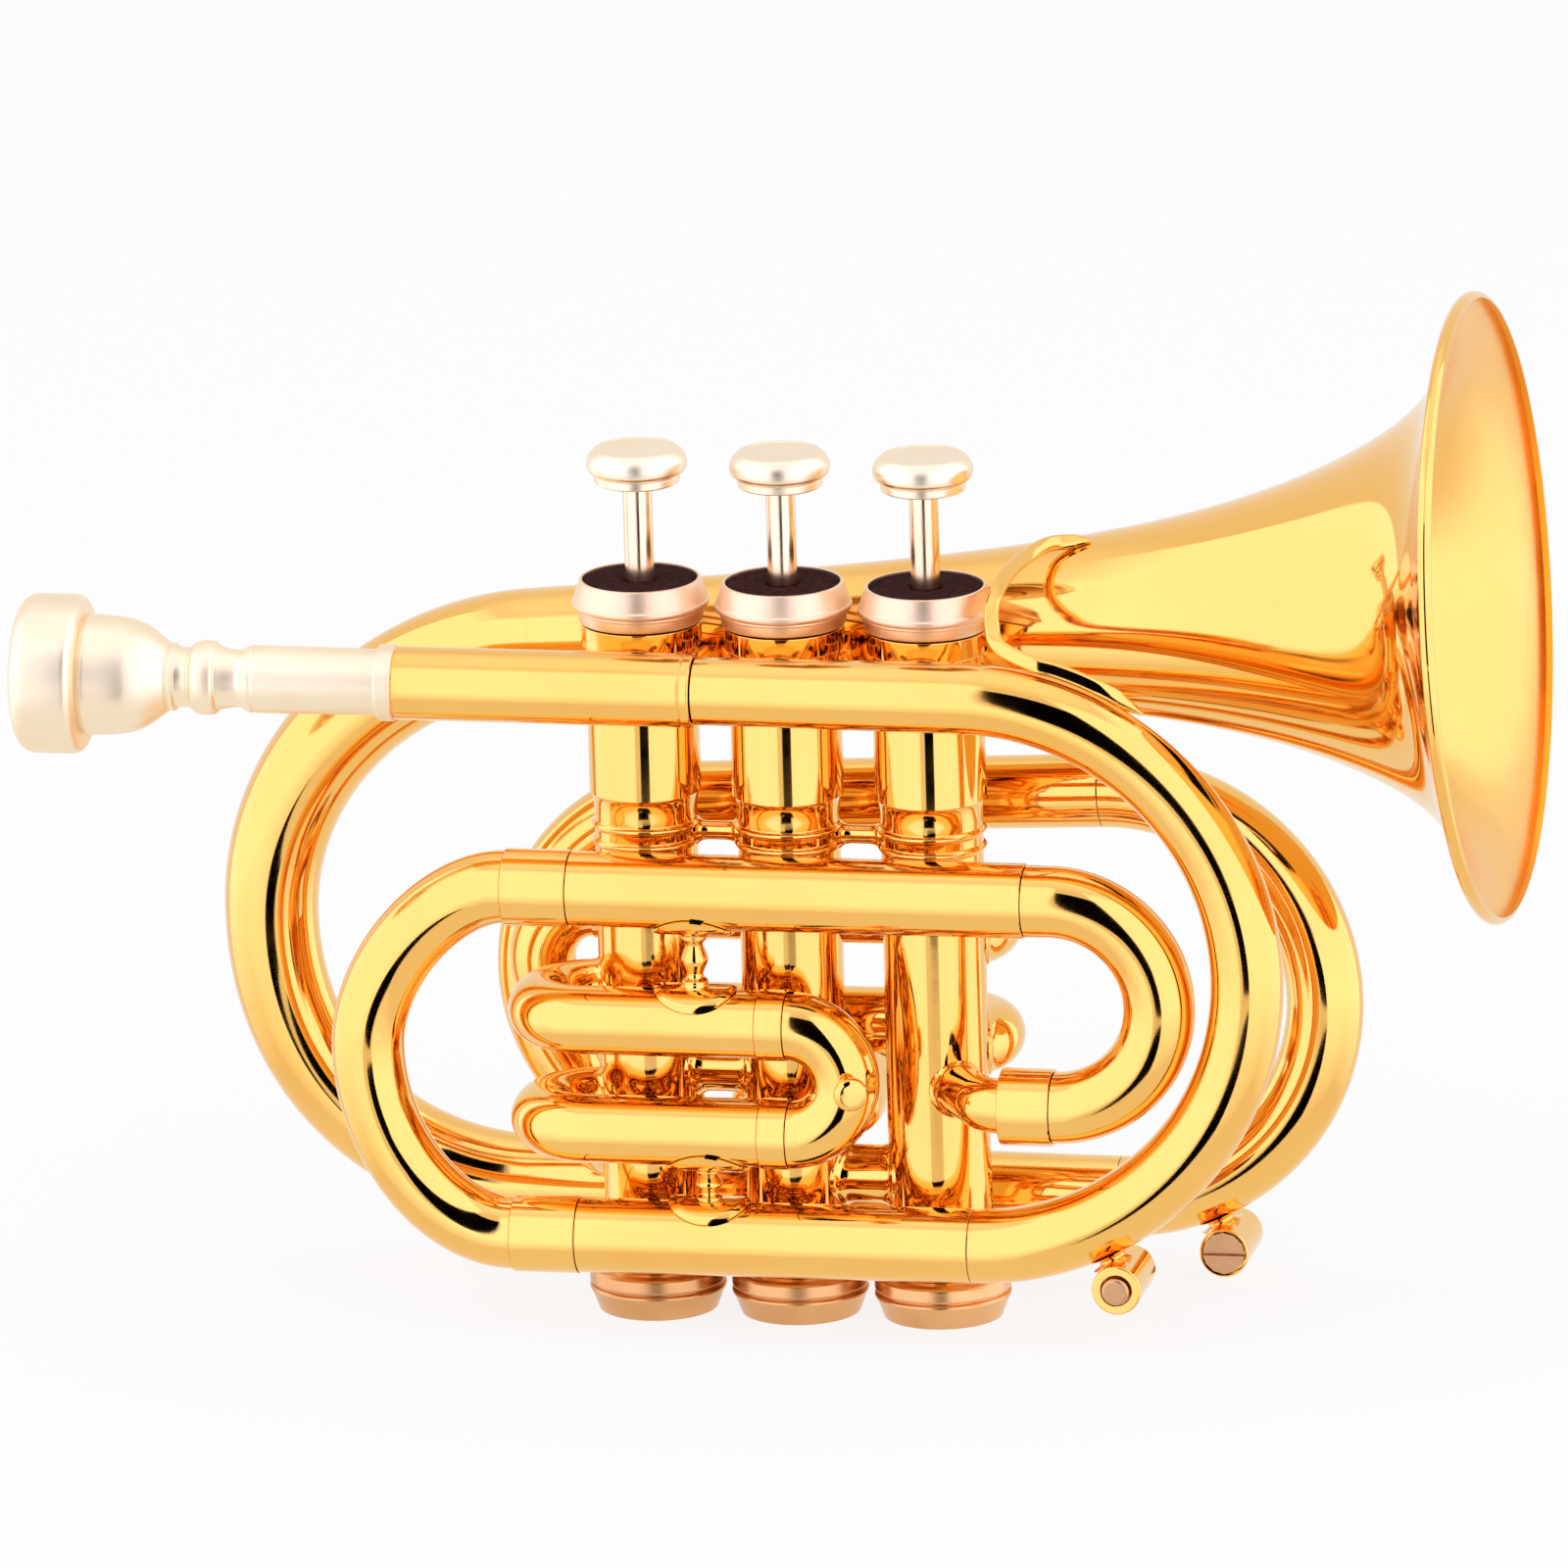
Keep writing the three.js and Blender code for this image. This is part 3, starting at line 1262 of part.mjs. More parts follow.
// Turned posts between near tubes, with a saddle at each end that wraps the tube
function bracePost(name, x, lowerHeight, lowerRadius, upperHeight, upperRadius) {
  const foot = lowerHeight + lowerRadius + seatGap;
  const head = upperHeight - upperRadius - seatGap;
  const height = head - foot;
  const waist = 0.55 * postTurnedRadius;
  const rows = [
    [0, foot - lowerRadius / 2],
    [0.8 * postTurnedRadius, foot - lowerRadius / 2],
    [0.8 * postTurnedRadius, foot + 0.16 * height],
    [waist, foot + 0.26 * height],
    [0.92 * postTurnedRadius, foot + 0.4 * height],
    [postTurnedRadius, foot + 0.52 * height],
    [0.92 * postTurnedRadius, foot + 0.64 * height],
    [waist, foot + 0.76 * height],
    [0.8 * postTurnedRadius, foot + 0.86 * height],
    [0.8 * postTurnedRadius, head + upperRadius / 2],
    [0, head + upperRadius / 2],
  ];
  let body = solid(turned(rows, smallSides));
  const reach = postFlangeLength;
  const tubeAt = (z, radius) =>
    solid(rod(new THREE.Vector3(-reach, 0, z), new THREE.Vector3(reach, 0, z), radius, slideSides));
  const flange = solid(
    new THREE.CylinderGeometry(1, 1, 1, slideSides)
      .rotateX(quarterTurn)
      .scale(postFlangeLength / 2, postFlangeWidth / 2, upperHeight - lowerHeight)
      .translate(0, 0, (upperHeight + lowerHeight) / 2),
  );
  const lowerShell = tubeAt(lowerHeight, lowerRadius + saddleGap + postFlangeThickness).intersect(flange);
  const upperShell = tubeAt(upperHeight, upperRadius + saddleGap + postFlangeThickness).intersect(flange);
  body = body.add(lowerShell).add(upperShell);
  body = body.subtract(tubeAt(lowerHeight, lowerRadius + saddleGap));
  body = body.subtract(tubeAt(upperHeight, upperRadius + saddleGap));
  addNode(name, body.translate([x, nearPlane, 0]), lacquer);
}

// Water keys: a cross cylinder on a short saddle, a push plunger in one end and a slotted plug in the other
function waterKey(name, bowCentre, bowBend, tubeRadius, x, standOff, facing) {
  const dx = x - bowCentre.x;
  const reach = bowBend + tubeRadius + standOff + waterKeyRadius;
  const z = bowCentre.z - Math.sqrt(reach * reach - dx * dx);
  const half = waterKeyLength / 2;
  const plugSeat = plugRadius + seatGap;
  // Along the key's own axis: the plunger's lip at the start and the plug's seat at the end
  const rows = [
    [waterKeyLipRadius, -half],
    [waterKeyRadius, -half],
    [waterKeyRadius, half],
    [plugSeat, half],
    [plugSeat, half - plugHeadLength - seatGap],
    [waterKeyBoreRadius, half - plugHeadLength - seatGap],
    [waterKeyBoreRadius, waterKeyLipLength - half],
    [waterKeyLipRadius, waterKeyLipLength - half],
  ];
  const lengthwise = (shape) => turnedAlongAxis(shape, facing).translate(x, bowCentre.y, z);
  let body = solid(lengthwise(rows));
  const keyPoint = new THREE.Vector3(x, bowCentre.y, z);
  const inwards = bowCentre.clone().sub(keyPoint).normalize();
  const saddle = rod(keyPoint, keyPoint.clone().addScaledVector(inwards, reach - bowBend), waterKeySaddleWidth / 2);
  const tubeSpace = drawnTube([
    { curve: new UprightArc(bowCentre, bowBend, bowBend, -10, -80), steps: 10,
      outer: [tubeRadius + seatGap, tubeRadius + seatGap], bore: [tubeWall, tubeWall] },
  ], 2 * tubeSides);
  const core = rod(
    new THREE.Vector3(x, bowCentre.y - half, z),
    new THREE.Vector3(x, bowCentre.y + half, z),
    waterKeyBoreRadius,
    2 * smallSides,
  );
  const saddleBody = solid(saddle).subtract(solid(tubeSpace)).subtract(solid(core));
  body = body.add(biggest(saddleBody));
  addNode(`${name}_water_key_body`, body, lacquer);
  const collar = waterKeyBoreRadius - runningGap;
  const collarFrom = waterKeyLipLength + seatGap - half;
  const plunger = [
    [0, -half - plungerStandOut],
    [plungerHeadRadius, -half - plungerStandOut],
    [plungerHeadRadius, collarFrom],
    [collar, collarFrom],
    [collar, collarFrom + plungerCollarShare * plungerLength],
    [0, collarFrom + plungerCollarShare * plungerLength],
  ];
  addNode(`${name}_water_key_plunger`, lengthwise(plunger), copperBrown);
  const plug = [
    [0, half - plugLength],
    [waterKeyBoreRadius - seatGap, half - plugLength],
    [waterKeyBoreRadius - seatGap, half - plugHeadLength],
    [plugRadius, half - plugHeadLength],
    [plugRadius, half],
    [0, half],
  ];
  const slot = new THREE.BoxGeometry(2 * (plugRadius + overrun), 2 * plugSlotDepth, plugSlotWidth);
  slot.translate(x, bowCentre.y - facing * half, z);
  addNode(`${name}_water_key_plug`, solid(lengthwise(plug)).subtract(solid(slot)), copperBrown);
}

// Rows along +Z are laid along Y: facing 1 puts the start of the rows at the back, -1 at the front
function turnedAlongAxis(rows, facing) {
  return turned(rows, 12).rotateX(facing * quarterTurn);
}

function biggest(body) {
  const pieces = body.decompose();
  return pieces.reduce((best, piece) => (piece.volume() > best.volume() ? piece : best));
}

receiver();
mouthpiece();
leadpipe();
tuningSlide();
inlet();
firstSlide();
secondSlide();
thirdSlide();
tail();
bellStem();
bell();
bellBrace();
bracePost(
  "brace_post_upper",
  upperPostX,
  firstSlideUpperHeight,
  firstSlideTubeRadius,
  upperSlideTubeHeight,
  slideTubeRadius,
);
bracePost(
  "brace_post_lower",
  lowerPostX,
  lowerSlideTubeHeight,
  slideTubeRadius,
  firstSlideLowerHeight,
  firstSlideTubeRadius,
);
waterKey("near", leadpipeBowCentre, leadpipeBend, slideTubeRadius, nearWaterKeyX, nearWaterKeyStandOff, -1);
waterKey(
  "far",
  new THREE.Vector3(tailBowX, tailPlane, tailBowHeight),
  tailBowBend,
  bellStemStartRadius,
  farWaterKeyX,
  farWaterKeyStandOff,
  1,
);

// The origin is the middle of the part's footprint, on the ground
const bounds = new THREE.Box3().setFromObject(trumpet);
const middle = bounds.getCenter(new THREE.Vector3());
trumpet.children.forEach((mesh) => mesh.geometry.translate(-middle.x, -middle.y, -bounds.min.z));

export default trumpet;
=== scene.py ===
from math import asin, atan2, copysign, cos, degrees, exp, hypot, pi, radians, sin, sqrt, tan

import bmesh
import bpy
from mathutils import Matrix, Vector


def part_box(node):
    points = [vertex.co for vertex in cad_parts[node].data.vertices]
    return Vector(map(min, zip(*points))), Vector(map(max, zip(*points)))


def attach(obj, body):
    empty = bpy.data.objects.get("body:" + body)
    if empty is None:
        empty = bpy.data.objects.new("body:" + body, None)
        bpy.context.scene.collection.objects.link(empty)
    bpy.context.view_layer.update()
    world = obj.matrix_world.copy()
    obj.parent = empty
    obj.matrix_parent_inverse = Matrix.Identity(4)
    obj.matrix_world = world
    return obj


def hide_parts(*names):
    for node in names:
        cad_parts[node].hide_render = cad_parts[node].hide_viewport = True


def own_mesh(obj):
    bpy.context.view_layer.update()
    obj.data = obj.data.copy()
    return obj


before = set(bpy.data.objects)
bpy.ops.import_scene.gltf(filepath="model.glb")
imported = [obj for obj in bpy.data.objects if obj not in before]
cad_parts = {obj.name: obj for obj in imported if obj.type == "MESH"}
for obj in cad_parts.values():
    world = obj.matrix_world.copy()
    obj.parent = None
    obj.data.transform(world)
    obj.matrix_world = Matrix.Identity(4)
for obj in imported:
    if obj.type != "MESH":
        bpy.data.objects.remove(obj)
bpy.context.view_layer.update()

# Camera: far away with a long lens, a little to the bell's side and above, and turned a trifle.
# It was set by the caps' ellipses, the level row of valves and the level tubes.
mm = 0.001
foot_low, foot_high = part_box("valve_2_bottom_cap")
row_middle = Vector(((foot_low.x + foot_high.x) / 2, (foot_low.y + foot_high.y) / 2, 0))


def at(x, y, z):
    """A place in millimetres from the foot of valve 2, in the frame."""
    return row_middle + mm * Vector((x, y, z))


def placed(name, content):
    """A new object in the scene, which holds a camera, a lamp or a mesh."""
    thing = bpy.data.objects.new(name, content)
    bpy.context.scene.collection.objects.link(thing)
    return thing


azimuth, elevation, roll = radians(11.5), radians(15.5), radians(1.5)
photo_pixels, pixels_per_mm = 1600, 5.65
camera_distance, film_width, farthest_seen = 8000, 36, 20
frame_middle = (-0.7, 94.92)
across = Vector((cos(azimuth), sin(azimuth), 0))
upwards = Vector((-sin(azimuth) * sin(elevation), cos(azimuth) * sin(elevation), cos(elevation)))
inwards = Vector((-sin(azimuth) * cos(elevation), cos(azimuth) * cos(elevation), -sin(elevation)))
lens = bpy.data.cameras.new("camera")
lens.sensor_width = film_width
lens.lens = pixels_per_mm * film_width * camera_distance / photo_pixels
lens.clip_end = farthest_seen
camera = placed("camera", lens)
camera_place = across * frame_middle[0] + upwards * frame_middle[1] - inwards * camera_distance
camera_side = across * cos(roll) - upwards * sin(roll)
camera_top = across * sin(roll) + upwards * cos(roll)
camera_turn = Matrix((camera_side, camera_top, -inwards)).transposed().to_4x4()
camera.matrix_world = Matrix.Translation(at(*camera_place)) @ camera_turn
bpy.context.scene.camera = camera

# Studio: a white tent of large soft panels round the trumpet, with a dark slot in front where the lens looks in.
# The polished tubes mirror it, so it is part of how the brass looks.
bpy.context.scene.view_settings.view_transform = "Standard"
world = bpy.data.worlds.new("studio")
bpy.context.scene.world = world
world.use_nodes = True
sky = world.node_tree
sky.nodes.clear()
room_light, mirrored_shade = 0.6, 0.08
seen = sky.nodes.new("ShaderNodeBackground")
seen.inputs["Strength"].default_value = 1
lit = sky.nodes.new("ShaderNodeBackground")
lit.inputs["Color"].default_value = (1, 1, 1, 1)
lit.inputs["Strength"].default_value = room_light


def number_node(tree, operation, *terms):
    """A sum on its terms, each a number or another node's output."""
    node = tree.nodes.new("ShaderNodeMath")
    node.operation = operation
    for socket, term in zip(node.inputs, terms):
        if isinstance(term, (int, float)):
            socket.default_value = term
        else:
            tree.links.new(term, socket)
    return node.outputs[0]


ray = sky.nodes.new("ShaderNodeLightPath")
sharp_ray = number_node(sky, "MAXIMUM", ray.outputs["Is Camera Ray"], ray.outputs["Is Glossy Ray"])
sharp_ray = number_node(sky, "MAXIMUM", sharp_ray, ray.outputs["Is Transmission Ray"])
looking = sky.nodes.new("ShaderNodeTexCoord").outputs["Generated"]


def looking_towards(way):
    """How far the looked-at direction runs along a way."""
    part = sky.nodes.new("ShaderNodeVectorMath")
    part.operation = "DOT_PRODUCT"
    part.inputs[1].default_value = way
    sky.links.new(looking, part.inputs[0])
    return part.outputs["Value"]


# Each slot runs from a left to a right turn and from a lowest to a highest elevation, in degrees.
dark_slots, in_slot = ((-8, 20, -5, 46), (-6, 17, -31, -17.5)), 0
for left_turn, right_turn, lowest, highest in dark_slots:
    middle, half = radians((left_turn + right_turn) / 2), radians((right_turn - left_turn) / 2)
    beside = number_node(sky, "ABSOLUTE", looking_towards((cos(middle), sin(middle), 0)))
    ahead, height = looking_towards((sin(middle), -cos(middle), 0)), looking_towards((0, 0, 1))
    stretch = number_node(sky, "LESS_THAN", beside, number_node(sky, "MULTIPLY", ahead, tan(half)))
    stretch = number_node(sky, "MULTIPLY", stretch, number_node(sky, "GREATER_THAN", height, sin(radians(lowest))))
    stretch = number_node(sky, "MULTIPLY", stretch, number_node(sky, "LESS_THAN", height, sin(radians(highest))))
    in_slot = number_node(sky, "MAXIMUM", in_slot, stretch)
shade = number_node(sky, "MAXIMUM", in_slot, mirrored_shade)
shade = number_node(sky, "MULTIPLY", shade, ray.outputs["Is Glossy Ray"])
sky.links.new(number_node(sky, "SUBTRACT", 1, shade), seen.inputs["Color"])
choose = sky.nodes.new("ShaderNodeMixShader")
sky.links.new(sharp_ray, choose.inputs["Fac"])
sky.links.new(lit.outputs[0], choose.inputs[1])
sky.links.new(seen.outputs[0], choose.inputs[2])
sky.links.new(choose.outputs[0], sky.nodes.new("ShaderNodeOutputWorld").inputs["Surface"])

daylight = (0.95, 1.0, 1.45)


def panel(name, place, target, size, glow, fades):
    """A soft panel of the tent. Its glow is a share of white, and fades over a share of its width and height."""
    lamp = bpy.data.lights.new(name, "AREA")
    lamp.shape = "RECTANGLE"
    lamp.size, lamp.size_y = mm * size[0], mm * size[1]
    lamp.energy = pi * lamp.size * lamp.size_y
    lamp.use_nodes = True
    tree = lamp.node_tree
    edges = tree.nodes.new("ShaderNodeSeparateXYZ")
    tree.links.new(tree.nodes.new("ShaderNodeNewGeometry").outputs["Parametric"], edges.inputs[0])
    strength = glow
    for axis, fade in zip("XY", fades):
        if fade:
            share = edges.outputs[axis]
            to_edge = number_node(tree, "MINIMUM", share, number_node(tree, "SUBTRACT", 1, share))
            rise = number_node(tree, "MINIMUM", 1, number_node(tree, "DIVIDE", to_edge, fade))
            strength = number_node(tree, "MULTIPLY", strength, rise)
    bulb = tree.nodes["Emission"]
    bulb.inputs["Color"].default_value = (*daylight, 1)
    tree.links.new(strength, bulb.inputs["Strength"])
    holder = placed(name, lamp)
    holder.location = at(*place)
    holder.rotation_euler = (at(*target) - at(*place)).to_track_quat("-Z", "Y").to_euler()
    holder.visible_camera = False


tent_radius, wall_foot, wall_top = 2000, -1350, 3900
wall_glow, wall_fades = 0.66, (0, 0.2)
wall_level = (wall_foot + wall_top) / 2
for name, from_turn, to_turn in (
    ("left_panel", -115, -60), ("front_left_panel", -60, -8), ("front_right_panel", 20, 75), ("right_panel", 75, 135),
):
    middle, half = radians((from_turn + to_turn) / 2), radians((to_turn - from_turn) / 2)
    distance = tent_radius * cos(half)
    place = (distance * sin(middle), -distance * cos(middle), wall_level)
    size = (2 * tent_radius * sin(half), wall_top - wall_foot)
    panel(name, place, (0, 0, wall_level), size, wall_glow, wall_fades)
roof_back, roof_size, roof_glow, roof_fades = 300, (5200, 5600), 0.36, (0.35, 0.35)
panel("roof_panel", (0, roof_back, wall_top), (0, roof_back, 0), roof_size, roof_glow, roof_fades)


# Flag: a black card far off under the lens, which the polished casings mirror as a dark line.
# It shows in mirrored rays only, and takes no light from the trumpet.
def flat_sheet(name, corners):
    """A flat sheet of the studio, from its corners in mm."""
    mesh = bpy.data.meshes.new(name)
    mesh.from_pydata([at(*corner) for corner in corners], [], [tuple(range(len(corners)))])
    return placed(name, mesh)


def finish_with(name, settings):
    """A new finish and its shader, with these settings."""
    finish = bpy.data.materials.new(name)
    finish.use_nodes = True
    shader = finish.node_tree.nodes["Principled BSDF"]
    for setting, value in settings.items():
        shader.inputs[setting].default_value = value
    return finish, shader


def matt(name, colour, roughness):
    """A matt finish without any gloss."""
    return finish_with(name, {"Base Color": (*colour, 1), "Roughness": roughness, "Specular IOR Level": 0})[0]


flag_distance, flag_turn, flag_half, flag_foot, flag_head = 1500, radians(11), 237, -345, -31
flag_middle = Vector((sin(flag_turn), -cos(flag_turn), 0)) * flag_distance
flag_side = Vector((cos(flag_turn), sin(flag_turn), 0)) * flag_half
flag = flat_sheet("flag", [
    flag_middle + flag_side * way + Vector((0, 0, level))
    for way, level in ((-1, flag_foot), (1, flag_foot), (1, flag_head), (-1, flag_head))
])
flag.visible_camera = flag.visible_diffuse = flag.visible_shadow = False
flag.data.materials.append(matt("flag_cloth", (0, 0, 0), 0.5))

# Floor: a plain pale sheet, wide enough for every view. It keeps the trumpet's shadow, and the polished faces
# mirror the white tent in its place.
floor_reach, floor_paper, floor_glow = 6000, (0.95, 0.93, 0.89), 0.85
floor = flat_sheet("floor", [(x * floor_reach, y * floor_reach, 0) for x, y in ((-1, -1), (1, -1), (1, 1), (-1, 1))])
floor.visible_glossy = floor.visible_shadow = False
paper = matt("floor_paper", floor_paper, 0.9)
tree = paper.node_tree
glow = tree.nodes.new("ShaderNodeEmission")
glow.inputs["Strength"].default_value = 1
pale = tree.nodes.new("ShaderNodeMixShader")
camera_ray = tree.nodes.new("ShaderNodeLightPath").outputs["Is Camera Ray"]
tree.links.new(number_node(tree, "MULTIPLY", camera_ray, floor_glow), pale.inputs["Fac"])
tree.links.new(tree.nodes["Principled BSDF"].outputs[0], pale.inputs[1])
tree.links.new(glow.outputs[0], pale.inputs[2])
tree.links.new(pale.outputs[0], tree.nodes["Material Output"].inputs["Surface"])
floor.data.materials.append(paper)


# Valve casings: drawn brass barrels with a stouter top, two turned beads and a collar for the top cap.
# They are joined by short link tubes and a strut, brazed on, and all of it is lacquered gold.
def noise(tree, size, detail):
    """Noise whose patches are about the given size in mm."""
    cloud = tree.nodes.new("ShaderNodeTexNoise")
    cloud.inputs["Scale"].default_value = 1 / (mm * size)
    cloud.inputs["Detail"].default_value = detail
    tree.links.new(tree.nodes.new("ShaderNodeTexCoord").outputs["Object"], cloud.inputs["Vector"])
    return cloud.outputs["Fac"]


def ramp(tree, source, low, high):
    """The middle range of some noise spread between two colours or two grey values."""
    band = tree.nodes.new("ShaderNodeValToRGB")
    for stop, position, value in zip(band.color_ramp.elements, (0.35, 0.65), (low, high)):
        stop.position = position
        stop.color = (*value, 1) if isinstance(value, tuple) else (value, value, value, 1)
    tree.links.new(source, band.inputs["Fac"])
    return band.outputs["Color"]


def bump(tree, shader, layers):
    """Layers of relief laid one over another, each with its patch size, its detail and its depth in mm."""
    below = None
    for size, detail, depth in layers:
        relief = tree.nodes.new("ShaderNodeBump")
        relief.inputs["Distance"].default_value = mm * depth
        relief.inputs["Strength"].default_value = 1
        tree.links.new(noise(tree, size, detail), relief.inputs["Height"])
        if below:
            tree.links.new(below, relief.inputs["Normal"])
        below = relief.outputs["Normal"]
    tree.links.new(below, shader.inputs["Normal"])


def metal(name, colour, deep, polish, layers, coat=0.0):
    """A metal: its colour wanders to a deeper one, and its roughness runs over the range that polish gives."""
    finish, shader = finish_with(name, {"Metallic": 1, "Coat Weight": coat, "Coat Roughness": 0.04})
    tree = finish.node_tree
    tree.links.new(ramp(tree, noise(tree, 30, 4), deep, colour), shader.inputs["Base Color"])
    tree.links.new(ramp(tree, noise(tree, 9, 5), *polish), shader.inputs["Roughness"])
    bump(tree, shader, layers)
    return finish


spun_waves = (14, 1, 0.02)
lacquer = metal(
    "gold_lacquer", (0.97, 0.55, 0.14), (0.95, 0.52, 0.12), (0.05, 0.09), [spun_waves, (1.1, 2, 0.001)], coat=0.25,
)


def smooth_piece(name, shape, finish, node, body="root", sharp=34):
    """A finished piece: it is shaded smooth but for its edges, rides on its body and stands for its node."""
    corners, faces = shape
    mesh = bpy.data.meshes.new(name)
    mesh.from_pydata([at(*corner) for corner in corners], [], faces)
    mesh.validate()
    shell = bmesh.new()
    shell.from_mesh(mesh)
    bmesh.ops.recalc_face_normals(shell, faces=shell.faces)
    shell.to_mesh(mesh)
    shell.free()
    mesh.shade_smooth()
    mesh.set_sharp_from_angle(angle=radians(sharp))
    mesh.materials.append(finish)
    piece = placed(name, mesh)
    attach(piece, body)
    if node:
        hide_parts(node)
    return piece


def eased(rows, ease, steps):
    """The rows of a turned outline with each corner eased to a small curve, held by a row close to either end of it
    so that the faces beside it stay flat."""
    least_bend, most_cut, held_share, no_length = radians(12), 0.42, 0.1, 1e-6
    result = []
    for i, row in enumerate(rows):
        here = Vector(row)
        run_in, run_out = here - Vector(rows[i - 1]), Vector(rows[(i + 1) % len(rows)]) - here
        if row[0] == 0 or min(run_in.length, run_out.length) < no_length or run_in.angle(run_out, 0) < least_bend:
            result.append(tuple(row))
            continue
        cut = min(ease, most_cut * run_in.length, most_cut * run_out.length)
        first = here - run_in.normalized() * cut
        last = here + run_out.normalized() * cut
        result.append(tuple(first - run_in.normalized() * held_share * cut))
        for step in range(steps + 1):
            share = step / steps
            result.append(tuple(first.lerp(here, share).lerp(here.lerp(last, share), share)))
        result.append(tuple(last + run_out.normalized() * held_share * cut))
    return result


def spline(points, steps):
    """A smooth curve through points, in a plane or in space."""
    points = [2 * points[0] - points[1], *points, 2 * points[-1] - points[-2]]
    result = []
    for i in range(1, len(points) - 2):
        a, b, c, d = points[i - 1:i + 3]
        for step in range(steps):
            t = step / steps
            linear, square, cube = (c - a) * t, (2 * a - 5 * b + 4 * c - d) * t * t, (3 * b - a - 3 * c + d) * t ** 3
            result.append(0.5 * (2 * b + linear + square + cube))
    return result + [points[-2]]


def curved(rows, steps):
    """A smooth curve through rows of a turned outline."""
    return [(max(point.x, 0), point.y) for point in spline([Vector(row) for row in rows], steps)]


upright = (Vector((1, 0, 0)), Vector((0, 1, 0)), Vector((0, 0, 1)))
along_x = (Vector((0, 1, 0)), Vector((0, 0, 1)), Vector((1, 0, 0)))


def lathe(rows, foot, axes=upright, sides=96):
    """Corners and faces of an outline, in rows of radius and height, turned about an axis. It closes on itself."""
    corners, rings = [], []
    for radius, height in rows:
        rings.append((len(corners), radius > 0))
        for i in range(sides if radius > 0 else 1):
            angle = 2 * pi * i / sides
            out = axes[0] * radius * cos(angle) + axes[1] * radius * sin(angle)
            corners.append(Vector(foot) + out + axes[2] * height)
    faces = []
    for k, (start, wide) in enumerate(rings):
        after, after_wide = rings[(k + 1) % len(rings)]
        for i in range(sides):
            j = (i + 1) % sides
            if wide and after_wide:
                faces.append((start + i, start + j, after + j, after + i))
            elif wide:
                faces.append((start + i, start + j, after))
            elif after_wide:
                faces.append((start, after + j, after + i))
    return corners, faces


def turned(outline, ease, steps, foot, axes=upright, sides=96):
    """A turned shape with its corners eased."""
    return lathe(eased(outline, ease, steps), foot, axes, sides)


def skin(rings, closed):
    """Corners and faces over a run of rings, which close on each other or have a face at either end."""
    sides = len(rings[0])
    corners = [corner for ring in rings for corner in ring]
    faces = []
    for k in range(len(rings) if closed else len(rings) - 1):
        a, b = k * sides, (k + 1) % len(rings) * sides
        faces += [(a + i, a + (i + 1) % sides, b + (i + 1) % sides, b + i) for i in range(sides)]
    if not closed:
        faces += [tuple(range(sides)), tuple(range(len(corners) - sides, len(corners)))]
    return corners, faces


def straight(start, end, steps=1):
    """Places and headings along a straight stretch."""
    a, b = Vector(start), Vector(end)
    heading = (b - a).normalized()
    return [(a.lerp(b, i / steps), heading) for i in range(steps + 1)]


joint_reach, tube_ease = 0.1, 0.1
solder_height, solder_fade = 0.9, 0.5


def swept(route, radii, bores, sides=48, brazed=()):
    """Corners and faces of a tube along a route. Each end is eased and reaches a little towards its neighbour, and
    where it meets an upright barrel that it is brazed to, an x and a radius, the solder makes a small fillet."""
    route = [(Vector(point), heading) for point, heading in route]
    (first, first_heading), (last, last_heading) = route[0], route[-1]
    first, last = first - first_heading * joint_reach, last + last_heading * joint_reach
    stations = [(first, first_heading, radii[0] - tube_ease, bores[0])]
    stations.append((first + first_heading * tube_ease, first_heading, radii[0], bores[0]))
    stations += [(point, heading, radius, bore) for (point, heading), radius, bore in zip(route, radii, bores)][1:-1]
    stations.append((last - last_heading * tube_ease, last_heading, radii[-1], bores[-1]))
    stations.append((last, last_heading, radii[-1] - tube_ease, bores[-1]))
    helper = Vector((0, 1, 0)) if abs(first_heading.y) < 0.9 else Vector((0, 0, 1))
    side = helper.cross(first_heading).normalized()
    outer_rings, bore_rings = [], []
    for point, heading, radius, bore in stations:
        side = (side - heading * side.dot(heading)).normalized()
        other = heading.cross(side)
        outs = [side * cos(2 * pi * i / sides) + other * sin(2 * pi * i / sides) for i in range(sides)]
        outer_ring = []
        for out in outs:
            corner, spread = point + out * radius, 0
            for barrel_x, barrel_radius in brazed:
                gap = hypot(corner.x - barrel_x, corner.y) - barrel_radius
                spread = max(spread, solder_height * exp(-max(gap, 0) / solder_fade))
            outer_ring.append(point + out * (radius + spread))
        outer_rings.append(outer_ring)
        bore_rings.append([point + out * bore for out in outs])
    return skin(outer_rings + bore_rings[::-1], closed=True)


def joined(*parts):
    """Corners and faces of several shapes as one piece."""
    corners, faces = [], []
    for part_corners, part_faces in parts:
        start = len(corners)
        corners += part_corners
        faces += [tuple(start + i for i in face) for face in part_faces]
    return corners, faces


def bead(radius, height, out, rise, steps=8):
    """A half-round bead on a barrel: rows that bulge by out over the rise."""
    return [(radius + out * sin(pi * i / steps), height + rise * i / steps) for i in range(steps + 1)]


